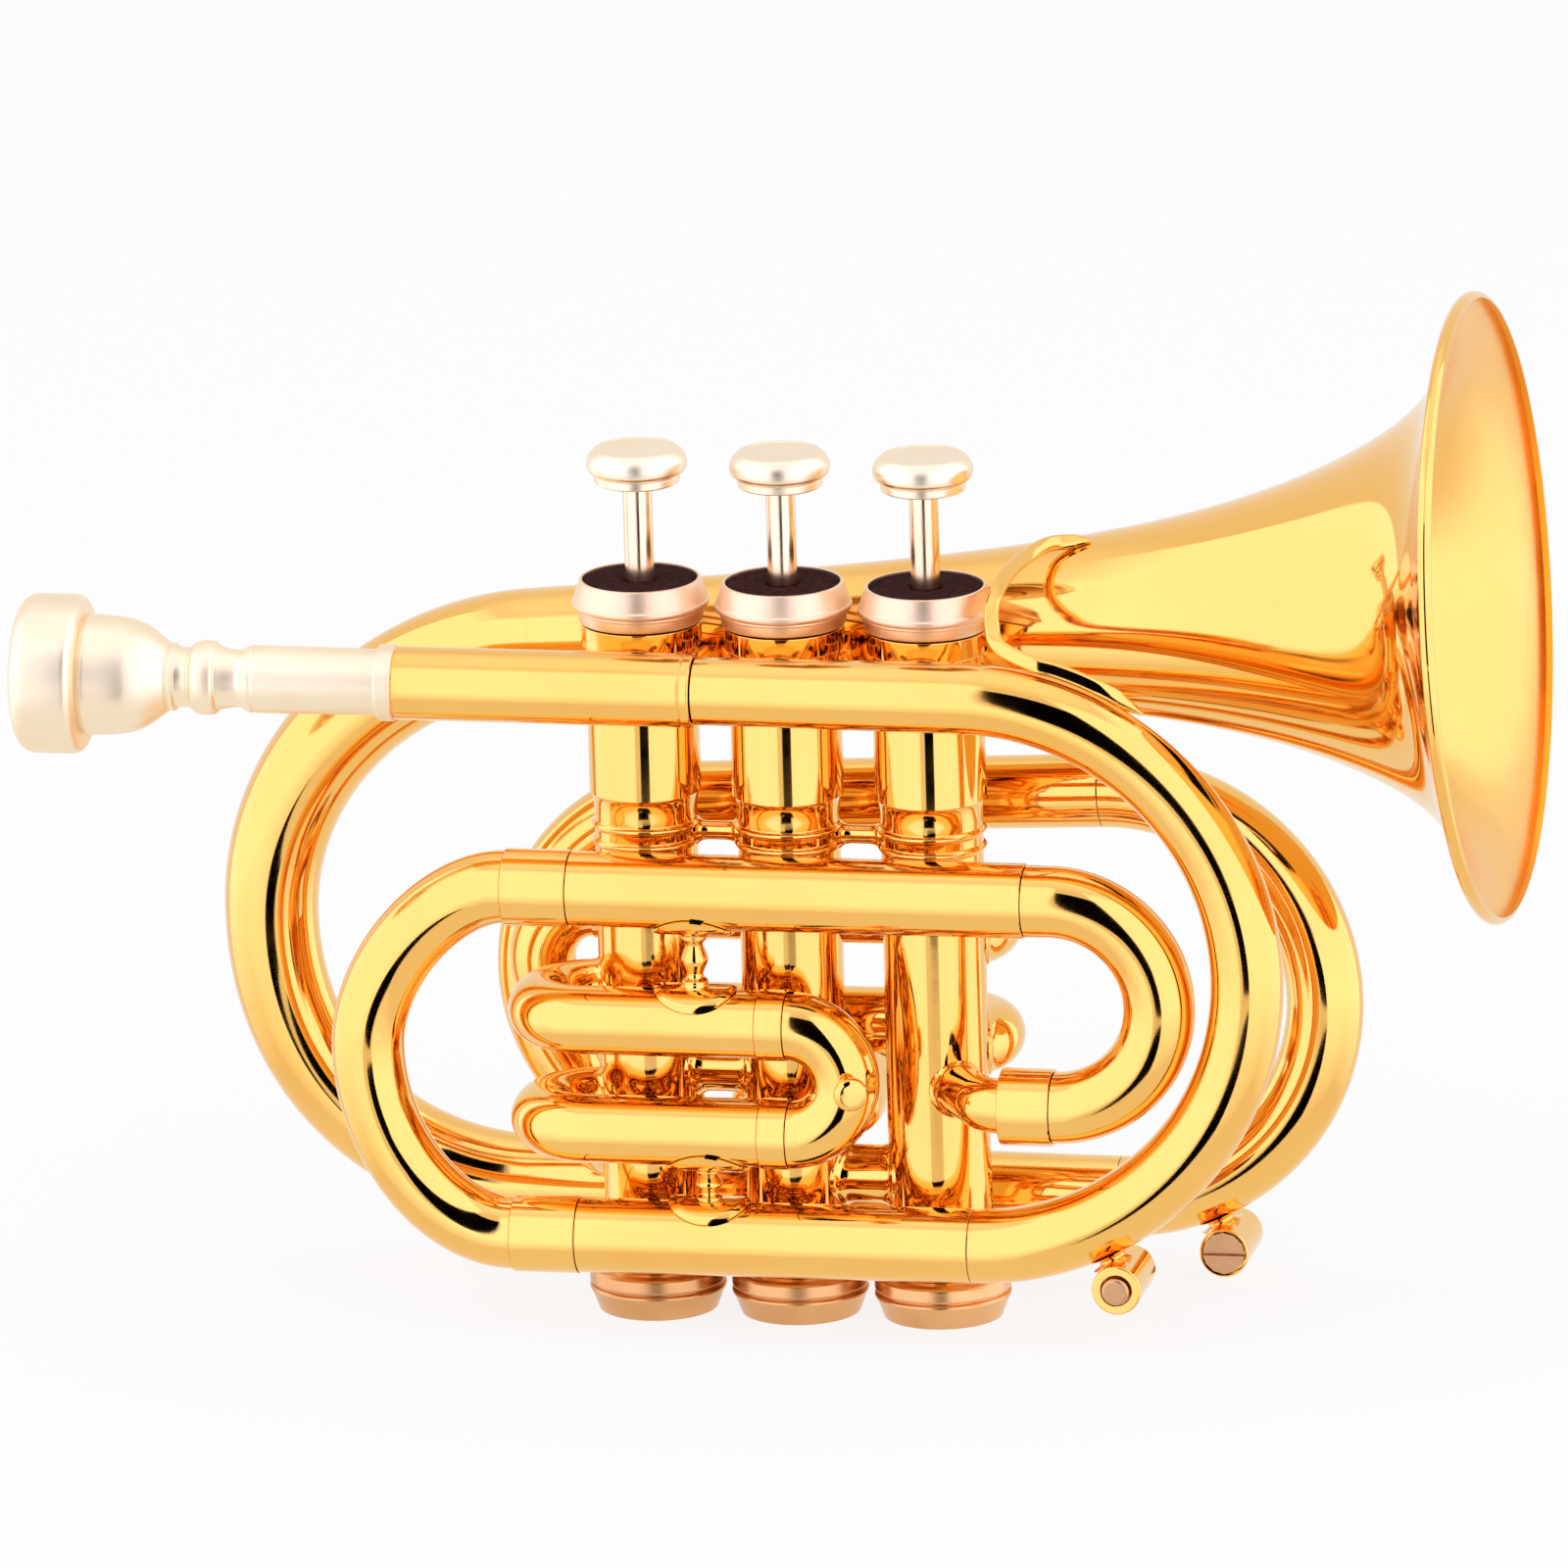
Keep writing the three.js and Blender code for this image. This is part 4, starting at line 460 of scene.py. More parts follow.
valve_spacing = 26.2
valve_x = {number: (number - 2) * valve_spacing for number in (1, 2, 3)}
casing_radius, upper_radius, collar_radius, casing_bore = 9.3, 10.1, 10.9, 8.4
casing_foot, collar_foot, collar_top, casing_top, collar_bevel = 2.4, 124.4, 128.3, 132, (0.2, 0.1)
bead_foot, bead_pitch, bead_height, bead_out = 87.2, 3.1, 1.5, 0.6
cove_foot, cove_top = 93.4, 97
link_heights, link_radius, link_wall, link_start = {1: 46, 2: 26}, 5.2, 0.9, 6.5
strut_height, strut_radius, strut_solder = bead_foot + 2.3, 1.7, 0.3
outline = [(casing_bore, casing_foot), (casing_radius, casing_foot)]
for i in range(2):
    outline += bead(casing_radius, bead_foot + i * bead_pitch, bead_out, bead_height)
outline.append((casing_radius, cove_foot))
for turn in range(10, 91, 10):
    across_cove, up_cove = cos(radians(turn)), sin(radians(turn))
    radius = upper_radius - (upper_radius - casing_radius) * across_cove
    outline.append((radius, cove_foot + (cove_top - cove_foot) * up_cove))
outline += [
    (upper_radius, collar_foot - collar_bevel[0]), (collar_radius, collar_foot), (collar_radius, collar_top),
    (upper_radius, collar_top + collar_bevel[1]), (upper_radius, casing_top), (casing_bore, casing_top),
]
for number, x in valve_x.items():
    parts = [turned(outline, 0.16, 3, (x, 0, 0))]
    if number in link_heights:
        neighbour = valve_x[number + 1]
        for height, radius, barrel in (
            (link_heights[number], link_radius, casing_radius),
            (strut_height, strut_radius, casing_radius + strut_solder),
        ):
            route = straight((x + link_start, 0, height), (neighbour - link_start, 0, height), 44)
            radii, bores = [radius] * len(route), [radius - link_wall] * len(route)
            parts.append(swept(route, radii, bores, 40, [(x, barrel), (neighbour, barrel)]))
    smooth_piece(f"casing_{number}", joined(*parts), lacquer, f"valve_{number}_casing")

# Bottom caps: turned cups of copper-coloured brass, screwed over the foot of each casing, with a small air hole.
# A plain band stands over a dark groove and a rounded bead, and the face below narrows to the foot.
copper = metal("copper_brown", (0.86, 0.45, 0.19), (0.62, 0.3, 0.12), (0.24, 0.34), [(0.8, 3, 0.006)])
outline = [(10.75, 0.15), (11.95, 3.45), *curved([(12.2, 3.75), (12.38, 4.15), (12.38, 4.5), (12.2, 4.8)], 4)]
outline += [(11.85, 4.95), (11.85, 5.1), (12.3, 5.3), (12.38, 5.6), (12.38, 7.5), (12.1, 8.0), (11.55, 8.38)]
outline += [(9.6, 8.4), (9.6, 1.8), (1.6, 1.8), (1.6, 0.15), (1.8, 0), (10.4, 0)]
for number, x in valve_x.items():
    cup = turned(outline, 0.12, 2, (x, 0, 0))
    smooth_piece(f"bottom_cap_{number}", cup, copper, f"valve_{number}_bottom_cap")

# Top caps: bevelled rings of silver-plated brass that screw on the casings, each with a thick felt washer let in.
# The felt quiets the button's return and stands nearly flush with the rim.
plate_waves = [(7, 2, 0.02), (0.9, 2, 0.002)]
warm_silver = metal("warm_silver", (0.99, 0.72, 0.50), (0.93, 0.65, 0.43), (0.36, 0.46), plate_waves)
felt, wool = finish_with("felt", {
    "Roughness": 1, "Specular IOR Level": 0.05, "Sheen Weight": 0.06, "Sheen Roughness": 0.5,
    "Sheen Tint": (0.6, 0.3, 0.25, 1),
})
wool_colour = ramp(felt.node_tree, noise(felt.node_tree, 1.4, 6), (0.014, 0.005, 0.004), (0.05, 0.015, 0.012))
felt.node_tree.links.new(wool_colour, wool.inputs["Base Color"])
bump(felt.node_tree, wool, [(0.5, 6, 0.25)])
cap_outline = [(10.4, 128.7), (11.15, 128.7), (11.3, 129.2), (11.45, 130.6), (11.55, 130.8), (11.5, 131.15)]
cap_outline += [(12.0, 131.3), *curved([(12.3, 131.5), (12.45, 131.95), (12.4, 132.4)], 4), (12.1, 132.75)]
cap_outline += [(10.95, 136.25), (10.8, 136.4), (10.4, 136.4), (10.4, 133.9), (3.25, 133.9), (3.25, 132.5)]
cap_outline += [(10.4, 132.5)]
felt_outline = [(2.95, 134.2), (10.1, 134.2), (10.1, 135.95), (9.8, 136.15)]
felt_outline += [(7.6, 136.1), (5.2, 136.15), (3.3, 136.1), (2.95, 135.9)]
for number, x in valve_x.items():
    ring = turned(cap_outline, 0.12, 2, (x, 0, 0))
    smooth_piece(f"top_cap_{number}", ring, warm_silver, f"valve_{number}_top_cap")
    washer = turned(felt_outline, 0.3, 3, (x, 0, 0), sides=120)
    smooth_piece(f"top_felt_{number}", washer, felt, f"valve_{number}_top_felt", sharp=60)


# Pistons: nickel-plated tubes drilled with three slanted passages, under a slotted spring barrel. They keep the
# shape of their solids. Only the polished stem shows, and a silver-plated button is screwed on its end.
def refinish(node, finish):
    """A hidden solid keeps its shape and gets its finish."""
    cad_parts[node].data.materials.clear()
    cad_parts[node].data.materials.append(finish)


nickel = metal("nickel", (0.94, 0.72, 0.51), (0.86, 0.63, 0.42), (0.14, 0.24), [(5, 2, 0.01)])
silver = metal("silver_plate", (0.98, 0.82, 0.60), (0.93, 0.75, 0.53), (0.28, 0.38), plate_waves)
stem_radius, stem_foot_height, stem_top = 2.67, 131, 158.2
stem_outline = [(0, stem_foot_height), (stem_radius, stem_foot_height), (stem_radius, stem_top), (0, stem_top)]
button_outline = [(2.95, 158.5), (2.95, 154.2), (7.4, 154.2), (7.7, 154.4), (7.75, 155.6), (7.55, 155.85), (7.4, 156.0)]
button_outline += [(8.6, 156.35), (8.95, 156.8)]
button_outline += curved(
    [(9.08, 157.4), (9.1, 158.05), (8.95, 158.75), (8.55, 159.5), (7.95, 160.15), (7.5, 160.5)], 4,
)
button_outline += [(7.2, 160.62), (6.9, 160.55), (6.7, 160.4), (4, 160.35), (0, 160.35), (0, 158.5)]
for number, x in valve_x.items():
    refinish(f"valve_{number}_piston", nickel)
    stem = turned(stem_outline, 0.1, 2, (x, 0, 0), sides=64)
    smooth_piece(f"stem_{number}", stem, nickel, None, f"valve_{number}")
    button = turned(button_outline, 0.12, 2, (x, 0, 0))
    smooth_piece(f"button_{number}", button, silver, f"valve_{number}_button", f"valve_{number}")

# Valve guides, inside the casings: a star with two keys that stops the piston from turning. It's a nickel-plated
# casting, screwed to the top of the piston's travel, and it keeps the shape of its solid.
for number in valve_x:
    refinish(f"valve_{number}_guide", nickel)

# Valve springs: coils of spring steel wire between the guide and the head of the piston's spring barrel.
# They are pressed together as the valve goes down.
steel = metal("spring_steel", (0.5, 0.5, 0.5), (0.38, 0.38, 0.4), (0.25, 0.4), [(0.6, 2, 0.004)])
wire_radius, coil_radius, curls, wire_sides, steps_per_curl = 0.5, 4.4, 8, 10, 36
for number, x in valve_x.items():
    low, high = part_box(f"valve_{number}_spring")
    spring_foot, spring_head = low.z / mm, high.z / mm
    climb = spring_head - spring_foot - 2 * wire_radius
    rings = []
    for step in range(curls * steps_per_curl + 1):
        share = step / (curls * steps_per_curl)
        turn = 2 * pi * curls * share
        ring = []
        for i in range(wire_sides):
            around = 2 * pi * i / wire_sides
            reach = coil_radius + wire_radius * cos(around)
            height = spring_foot + wire_radius + climb * share + wire_radius * sin(around)
            ring.append(Vector((x + reach * cos(turn), reach * sin(turn), height)))
        rings.append(ring)
    coil = skin(rings, closed=False)
    spring = smooth_piece(f"spring_{number}", coil, steel, f"valve_{number}_spring")
    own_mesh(spring)

# Mouthpiece receiver: a stout brass sleeve, tapered inside, with a rolled lip and a ring where the leadpipe enters.
# The lip is plated silver, as the mouthpiece is, and the sleeve is soldered on the leadpipe.
bright_silver = metal("bright_silver", (0.99, 0.82, 0.58), (0.95, 0.76, 0.52), (0.34, 0.44), plate_waves)
near_plane, leadpipe_height = -17.5, 120.3
receiver_mouth, receiver_length, receiver_ring, lip_length = -70.9, 56, 1.8, 3.15
receiver_end = receiver_mouth + receiver_length + receiver_ring
outline = [(6.3, 0), (6.8, 0), (6.95, 0.3), (6.95, 2.75), (6.8, 3.05), (6.5, 3.2), (6.5, 3.35), (6.65, 3.5)]
outline += [(6.65, receiver_length - 0.3), (6.5, receiver_length - 0.15), (6.5, receiver_length)]
outline += [(6.72, receiver_length + 0.15), (6.72, receiver_length + 1.55), (6.5, receiver_length + receiver_ring)]
outline += [(5.1, receiver_length + receiver_ring), (5.1, 23.3), (5.6, 23.3)]
sleeve = turned(outline, 0.1, 3, (receiver_mouth, near_plane, leadpipe_height), along_x)
receiver = smooth_piece("receiver", sleeve, lacquer, "leadpipe_receiver")
receiver.data.materials.append(bright_silver)
lip_end = at(receiver_mouth + lip_length, 0, 0).x
for face in receiver.data.polygons:
    face.material_index = 1 if face.center.x < lip_end else 0

# Mouthpiece: turned from one bar of brass and silver plated. A broad rim and cup, a slim neck with a turned ring,
# and a tapered shank that is pushed into the receiver. Fine lines are cut where one form passes into the next.
rim_plane = -136.9
outline = [(9.2, 0.9), (9.7, 0.3), (10.6, 0.02), (11.5, 0.05), (12.5, 0.4), (13.3, 0.95), (14.0, 1.75), (14.35, 2.7)]
outline += [(14.4, 3.6), (14.4, 9.9), (14.3, 10.7), (13.95, 11.4), (13.4, 11.85), (12.6, 12.1), (11.2, 12.25)]
outline += [(10.6, 12.45), (10.6, 12.75), (11.05, 12.95)]
outline += curved([
    (10.95, 13.35), (10.85, 15.2), (10.7, 17.5), (10.45, 19.5), (10.1, 21.1), (9.2, 23.3), (8.0, 25.1), (6.9, 26.5),
    (6.25, 27.4),
], 4)
outline += [(5.95, 27.55), (5.95, 27.8), (6.15, 28.0), (6.15, 28.7)]
outline += curved([(5.55, 29.1), (5.4, 30.2), (5.4, 31.2)], 3)
outline += [(5.7, 31.6), (5.7, 31.8), (6.2, 32.2), *curved([(6.5, 32.7), (6.7, 33.6), (6.72, 34.8), (6.6, 35.9)], 3)]
outline += [(6.3, 36.4), (5.8, 36.6), (5.75, 36.9), (5.6, 37.4), (5.25, 39.3), (5.2, 40.5), (5.55, 41.4), (5.85, 41.8)]
outline += [(5.85, 42.1), (6.1, 42.4), (6.1, 43.1), (5.95, 43.3), (5.95, 43.5), (6.1, 43.7)]
outline += [(6.05, 60), (6.0, 66), (5.3, 86.8), (5.2, 87), (4.3, 87)]
outline += [(1.85, 20.9), (1.85, 14.8), (6.2, 9.6), (8.3, 2.6)]
body = turned(outline, 0.2, 3, (rim_plane, near_plane, leadpipe_height), along_x)
smooth_piece("mouthpiece_body", body, bright_silver, "mouthpiece", "mouthpiece")


# Leadpipe: a long taper of drawn brass, straight over the valves and bent round the right side on a form.
# It is soldered in the receiver at one end and in the lower slide tube at the other.
def upright_bow(centre, bend_x, bend_z, start, end, steps):
    """Places and headings along an arc in an upright plane."""
    route = []
    sweep = radians(end - start)
    for i in range(steps + 1):
        angle = radians(start) + sweep * i / steps
        point = Vector((centre[0] + bend_x * cos(angle), centre[1], centre[2] + bend_z * sin(angle)))
        route.append((point, Vector((-bend_x * sin(angle) * sweep, 0, bend_z * cos(angle) * sweep)).normalized()))
    return route


def level_bow(centre, bend, start, end, steps):
    """Places and headings along an arc in a level plane."""
    route = []
    way = 1 if end > start else -1
    for i in range(steps + 1):
        angle = radians(start + (end - start) * i / steps)
        point = Vector((centre[0] + bend * cos(angle), centre[1] + bend * sin(angle), centre[2]))
        route.append((point, Vector((-sin(angle) * way, cos(angle) * way, 0))))
    return route


def near_run(start, end, height, steps):
    """Places and headings of a level stretch in the plane of the near tubes."""
    return straight((start, near_plane, height), (end, near_plane, height), steps)


def tapered(route, from_radius, to_radius):
    """A radius for each place of a route, which changes evenly with the way along it."""
    run = [0]
    for (a, _), (b, _) in zip(route, route[1:]):
        run.append(run[-1] + (b - a).length)
    return [from_radius + (to_radius - from_radius) * part / run[-1] for part in run]


wall, seat = 0.5, 0.3
lead_start_radius, slide_tube_radius = 6.1, 6.8
loop_drop, bow_start = 102.3, 35.5
lower_height, lead_bend = leadpipe_height - loop_drop, loop_drop / 2
bow_centre = (bow_start, near_plane, leadpipe_height - lead_bend)
bow_top_radius = (lead_start_radius + slide_tube_radius) / 2
lead_run = near_run(receiver_end + seat, bow_start, leadpipe_height, 12)
bow_run = upright_bow(bow_centre, lead_bend, lead_bend, 90, -90, 90)
radii = tapered(lead_run, lead_start_radius, bow_top_radius)[:-1]
radii += tapered(bow_run, bow_top_radius, slide_tube_radius)
lead_shape = swept(lead_run[:-1] + bow_run, radii, [radius - wall for radius in radii])
smooth_piece("leadpipe_tube", lead_shape, lacquer, "leadpipe")


# Main tuning slide: two outer tubes, and an egg-shaped bow with a ferrule and an inner leg at each end of it.
# All of it is drawn brass, soldered at the ferrules. The legs are greased and run in the outer tubes.
def tube(name, route, radius, end_radius=None, body="root", node=None, brazed=()):
    """A lacquered tube along a route, tapering from one outer radius to another."""
    radii = tapered(route, radius, end_radius or radius)
    shape = swept(route, radii, [outer - wall for outer in radii], brazed=brazed)
    smooth_piece(name, shape, lacquer, node or name, body)


def sleeve_and_leg(name, sleeve, leg_end, leg_radius, sleeve_radius, node, body):
    """A ferrule and the inner leg that it is brazed on, along X in the near plane, as one turned piece."""
    start, end, height = sleeve
    bore = leg_radius - wall
    outward = 1 if end > start else -1
    start, end = start - outward * joint_reach, end + outward * joint_reach
    rows = [(bore, start), (sleeve_radius, start), (sleeve_radius, end), (leg_radius, end)]
    rows += [(leg_radius, leg_end), (bore, leg_end)]
    smooth_piece(name, turned(rows, 0.1, 3, (0, near_plane, height), along_x, 64), lacquer, node, body)


def pulled_curve(a, b, c, d, steps):
    """Places and headings along a curve with two pulls."""
    a, b, c, d = Vector(a), Vector(b), Vector(c), Vector(d)
    route = []
    for i in range(steps + 1):
        t = i / steps
        s = 1 - t
        point = a * s ** 3 + b * 3 * s * s * t + c * 3 * s * t * t + d * t ** 3
        heading = ((b - a) * s * s + (c - b) * 2 * s * t + (d - c) * t * t).normalized()
        route.append((point, heading))
    return route


def quarter_bow(foot, far, pulls, steps, heading=(1, 0, 0)):
    """A quarter of an egg-shaped bow, from its foot, where it runs along the heading, to its far side."""
    foot, far = Vector(foot), Vector(far)
    foot_pull = foot - Vector(heading) * pulls[0] * abs(far.x - foot.x)
    drift_share = 0.35
    drift = drift_share * (foot.y - far.y)
    far_pull = Vector((far.x, far.y + drift, far.z - pulls[1] * (far.z - foot.z)))
    return pulled_curve(foot, foot_pull, far_pull, far, steps)


def turned_back(route):
    """The same places in the other direction."""
    return [(point, -heading) for point, heading in route[::-1]]


upper_height, slide_left, upper_right = 82.8, -36.6, 46.4
for name, height, right in (
    ("lower_slide_tube", lower_height, bow_start - seat), ("upper_slide_tube", upper_height, upper_right),
):
    route = near_run(slide_left, right, height, 8)
    tube(name + "_outer", route, slide_tube_radius, node=name)
sleeve_radius, sleeve_length, leg_length, leg_play = 7, 11.6, 40, 0.3
sleeve_end = slide_left - seat
crook_end = sleeve_end - sleeve_length
for level, height in (("upper", upper_height), ("lower", lower_height)):
    sleeve_and_leg(
        f"tuning_leg_{level}", (crook_end, sleeve_end, height), sleeve_end + leg_length,
        slide_tube_radius - wall - leg_play, sleeve_radius, f"tuning_slide_leg_{level}", "tuning_slide",
    )
crook_x, crook_reach, crook_middle, crook_radius = crook_end - seat, 26.1, 52.2, 6.6
crook_far = (crook_x - crook_reach, near_plane, crook_middle)
route = quarter_bow((crook_x, near_plane, upper_height), crook_far, (0.45, 0.48), 40)[:-1]
route += turned_back(quarter_bow((crook_x, near_plane, lower_height), crook_far, (0.54, 0.51), 40))
tube("tuning_crook", route, crook_radius, body="tuning_slide", node="tuning_slide_crook")

# Inlet bow: from the upper slide tube back to valve 3, with a ferrule and a tight elbow of drawn brass.
# The elbow is brazed to the casing, with a fillet of solder round its foot.
inlet_height, inlet_start, inlet_radius, inlet_reach = 44.4, 51, 6.5, 19.5
inlet_rise = (upper_height - inlet_height) / 2
route = near_run(upper_right + seat, inlet_start, upper_height, 2)[:-1]
route += upright_bow((inlet_start, near_plane, upper_height - inlet_rise), inlet_reach, inlet_rise, 90, -90, 60)
tube("inlet_tube", route, inlet_radius, node="inlet_bow")
inlet_sleeve_length = 9.2
sleeve_right = inlet_start - seat
sleeve_left = sleeve_right - inlet_sleeve_length
route = near_run(sleeve_left, sleeve_right, inlet_height, 4)
tube("inlet_sleeve", route, sleeve_radius, node="inlet_ferrule")
elbow_bend, elbow_degrees, elbow_radii, elbow_stop = 5.4, 55, (5, 4.4), 0.42
elbow_turn = radians(elbow_degrees)
elbow_run = (-near_plane - elbow_bend * (1 - cos(elbow_turn))) / sin(elbow_turn)
bend_start = valve_x[3] + elbow_bend * sin(elbow_turn) + elbow_run * cos(elbow_turn)
bend = level_bow((bend_start, near_plane + elbow_bend, inlet_height), elbow_bend, 270, 270 - elbow_degrees, 16)
route = near_run(sleeve_left - seat, bend_start, inlet_height, 2)[:-1] + bend
route += straight(bend[-1][0], Vector((valve_x[3], 0, inlet_height)).lerp(bend[-1][0], elbow_stop), 30)[1:]
tube("inlet_elbow_tube", route, *elbow_radii, node="inlet_elbow", brazed=[(valve_x[3], casing_radius)])

# First valve slide: two returns brazed to the left of valve 1 and a short bow with two ferrules and a pull knob.
# It is drawn brass, and the knob is turned and soldered on the bow.
port_reach = 6.6
first_radius, ferrule_radius, first_leg_radius, first_leg_length, first_ferrule_length = 6.2, 6.45, 5.4, 24, 4.8
first_heights, first_end = {"upper": 58.3, "lower": 38}, -2.9
ferrule_left = first_end + seat
ferrule_right = ferrule_left + first_ferrule_length
return_x = valve_x[1] - casing_radius
for level, height in first_heights.items():
    route = straight((valve_x[1] - port_reach, 0, height), (return_x, 0, height), 14)[:-1]
    route += level_bow((return_x, near_plane / 2, height), -near_plane / 2, 90, 270, 40)
    route += near_run(return_x, first_end, height, 8)[1:]
    brazed = [(valve_x[1], casing_radius)]
    tube(f"first_return_{level}", route, first_radius, node=f"first_slide_tube_{level}", brazed=brazed)
    sleeve_and_leg(
        f"first_leg_{level}", (ferrule_right, ferrule_left, height), ferrule_left - first_leg_length,
        first_leg_radius, ferrule_radius, f"first_slide_leg_{level}", "first_slide",
    )
first_crook_x = ferrule_right + seat
first_middle = sum(first_heights.values()) / 2
first_half = (first_heights["upper"] - first_heights["lower"]) / 2
route = upright_bow((first_crook_x, near_plane, first_middle), first_half, first_half, 90, -90, 48)
tube("first_crook", route, first_radius, body="first_slide", node="first_slide_crook")
knob_turn = radians(17.5)
forwards = Vector((sin(knob_turn), -cos(knob_turn), 0))
knob_axes = (Vector((cos(knob_turn), sin(knob_turn), 0)), Vector((0, 0, 1)), forwards)
outline = [(0, 6.0), (2.6, 6.0), (2.0, 6.9), (1.9, 7.4), (2.9, 7.8), (3.1, 8.3), (3.1, 9.0), (2.8, 9.5), (2.1, 9.85)]
outline += [(1.0, 9.9), (0, 9.9)]
knob = turned(outline, 0.15, 3, (first_crook_x + first_half, near_plane, first_middle), knob_axes, 48)
smooth_piece("first_knob", knob, lacquer, "first_slide_knob", "first_slide")

# Second valve slide: two knuckles out of the back of valve 2, and a short level bow with its legs and ferrules.
# It is drawn brass, brazed to the casing, and it is drawn straight back.
second_height, second_radius, second_half, second_end, second_pull = 36, 5.5, 8.5, 26, 0.4
second_leg_end, second_ferrule_end, second_bow, second_bore = 13, 30.3, 34, 4.2
diagonal = radians(45)
for name, way in (("left", -1), ("right", 1)):
    out = Vector((way * cos(diagonal), sin(diagonal), 0))
    foot = Vector((0, 0, second_height))
    wall_point = foot + out * casing_radius
    run_from = Vector((way * second_half, casing_radius + second_radius, second_height))
    pull = second_pull * (run_from.y - wall_point.y)
    route = straight(foot + out * port_reach, wall_point, 8)[:-1]
    route += pulled_curve(wall_point, wall_point + out * pull, run_from - Vector((0, pull, 0)), run_from, 12)
    route += straight(run_from, (way * second_half, second_end, second_height), 3)[1:]
    tube(f"second_return_{name}", route, second_radius, node=f"second_slide_tube_{name}", brazed=[(0, casing_radius)])
leg_radius, second_ferrule = second_radius - wall - leg_play, second_radius + 0.3
leg_places = [
    (second_leg_end, leg_radius), (second_end + seat, leg_radius), (second_end + seat, second_ferrule),
    (second_ferrule_end, second_ferrule), (second_ferrule_end, second_radius), (second_bow, second_radius),
]
stations = []
for way in (1, -1):
    for y, radius in leg_places[::way]:
        stations.append(((Vector((way * second_half, y, second_height)), Vector((0, way, 0))), radius))
    if way > 0:
        arc = level_bow((0, second_bow, second_height), second_half, 0, 180, 30)
        stations += [(place, second_radius) for place in arc[1:-1]]
route, radii = zip(*stations)
second_shape = swept(route, radii, [second_bore] * len(route))
smooth_piece("second_crook", second_shape, lacquer, "second_slide_crook", "second_slide")

# Third valve slide: two long returns out of the back of valve 3 and a bow far to the left, with its legs.
# It is drawn brass, brazed to the casing, and it is drawn to the left behind the valves.
third_plane, third_radius, third_bend, third_end, third_bore = 18.5, 6, 7.5, -34, 4.7
third_heights, third_ferrule_length, third_leg_length = {"upper": 70, "lower": 49.5}, 5.2, 40
bend_from = (third_plane - third_bend * (1 + cos(diagonal))) / sin(diagonal)
for level, height in third_heights.items():
    out = Vector((cos(diagonal), sin(diagonal), 0))
    foot = Vector((valve_x[3], 0, height))
    bend_start = foot + out * bend_from
    centre = bend_start + third_bend * Vector((-sin(diagonal), cos(diagonal), 0))
    route = straight(foot + out * port_reach, bend_start, 20)[:-1]
    bend = level_bow(centre, third_bend, -45, 90, 24)
    route += bend + straight(bend[-1][0], (third_end, bend[-1][0].y, height), 10)[1:]
    brazed = [(valve_x[3], casing_radius)]
    tube(f"third_return_{level}", route, third_radius, node=f"third_slide_tube_{level}", brazed=brazed)
leg_radius = third_radius - wall - leg_play
third_sleeve_from = third_end - seat
third_sleeve_to = third_sleeve_from - third_ferrule_length
third_middle = sum(third_heights.values()) / 2
third_half = (third_heights["upper"] - third_heights["lower"]) / 2
leg_places = [
    (third_end + third_leg_length, leg_radius), (third_sleeve_from, leg_radius), (third_sleeve_from, ferrule_radius),
    (third_sleeve_to, ferrule_radius),
]
stations = []
for way, height in ((-1, third_heights["upper"]), (1, third_heights["lower"])):
    for x, radius in leg_places[::-way]:
        stations.append(((Vector((x, third_plane, height)), Vector((way, 0, 0))), radius))
    if way < 0:
        arc = upright_bow((third_sleeve_to, third_plane, third_middle), third_half, third_half, 90, 270, 40)
        stations += [(place, third_radius) for place in arc]
route, radii = zip(*stations)
third_shape = swept(route, radii, [third_bore] * len(route))
smooth_piece("third_crook", third_shape, lacquer, "third_slide_crook", "third_slide")

# Tail: out of valve 1, round the left loop, behind the valves and round the right bow, growing as it goes.
# Two lengths of tapered brass tube meet in a soldered joint behind the leadpipe.
tail_plane, tail_start_radius, stem_start_radius = 31.5, 6.1, 7.3
loop_x, loop_height, loop_bend = -22.1, 54.4, 32.4
tail_x, tail_height, tail_bend = 53.4, 52, 38.1
tail_port_height, tail_pull = 27, 12
centre_run, centre_drop = tail_x - loop_x, tail_height - loop_height
tail_pitch = degrees(atan2(centre_drop, centre_run) + asin((tail_bend - loop_bend) / hypot(centre_drop, centre_run)))
loop = upright_bow((loop_x, tail_plane, loop_height), loop_bend, loop_bend, 215, 90 + tail_pitch, 50)
tail_bow = upright_bow((tail_x, tail_plane, tail_height), tail_bend, tail_bend, 90 + tail_pitch, -90, 72)
out = Vector((-cos(diagonal), sin(diagonal), 0))
port = Vector((valve_x[1], 0, tail_port_height))
port_wall = port + out * casing_radius
loop_first, loop_heading = loop[0]
joint = tail_bow[0][0] + (loop[-1][0] - tail_bow[0][0]).normalized() * seat
middle_radius = (tail_start_radius + stem_start_radius) / 2
route = straight(port + out * port_reach, port_wall, 8)[:-1]
route += pulled_curve(port_wall, port_wall + out * tail_pull, loop_first - loop_heading * tail_pull, loop_first, 24)
route += loop[1:-1] + straight(loop[-1][0], joint, 8)
brazed = [(valve_x[1], casing_radius)]
tube("tail_loop_tube", route, tail_start_radius, middle_radius, node="tail_loop", brazed=brazed)
tube("tail_bow_tube", tail_bow, middle_radius, stem_start_radius, node="tail_bow")

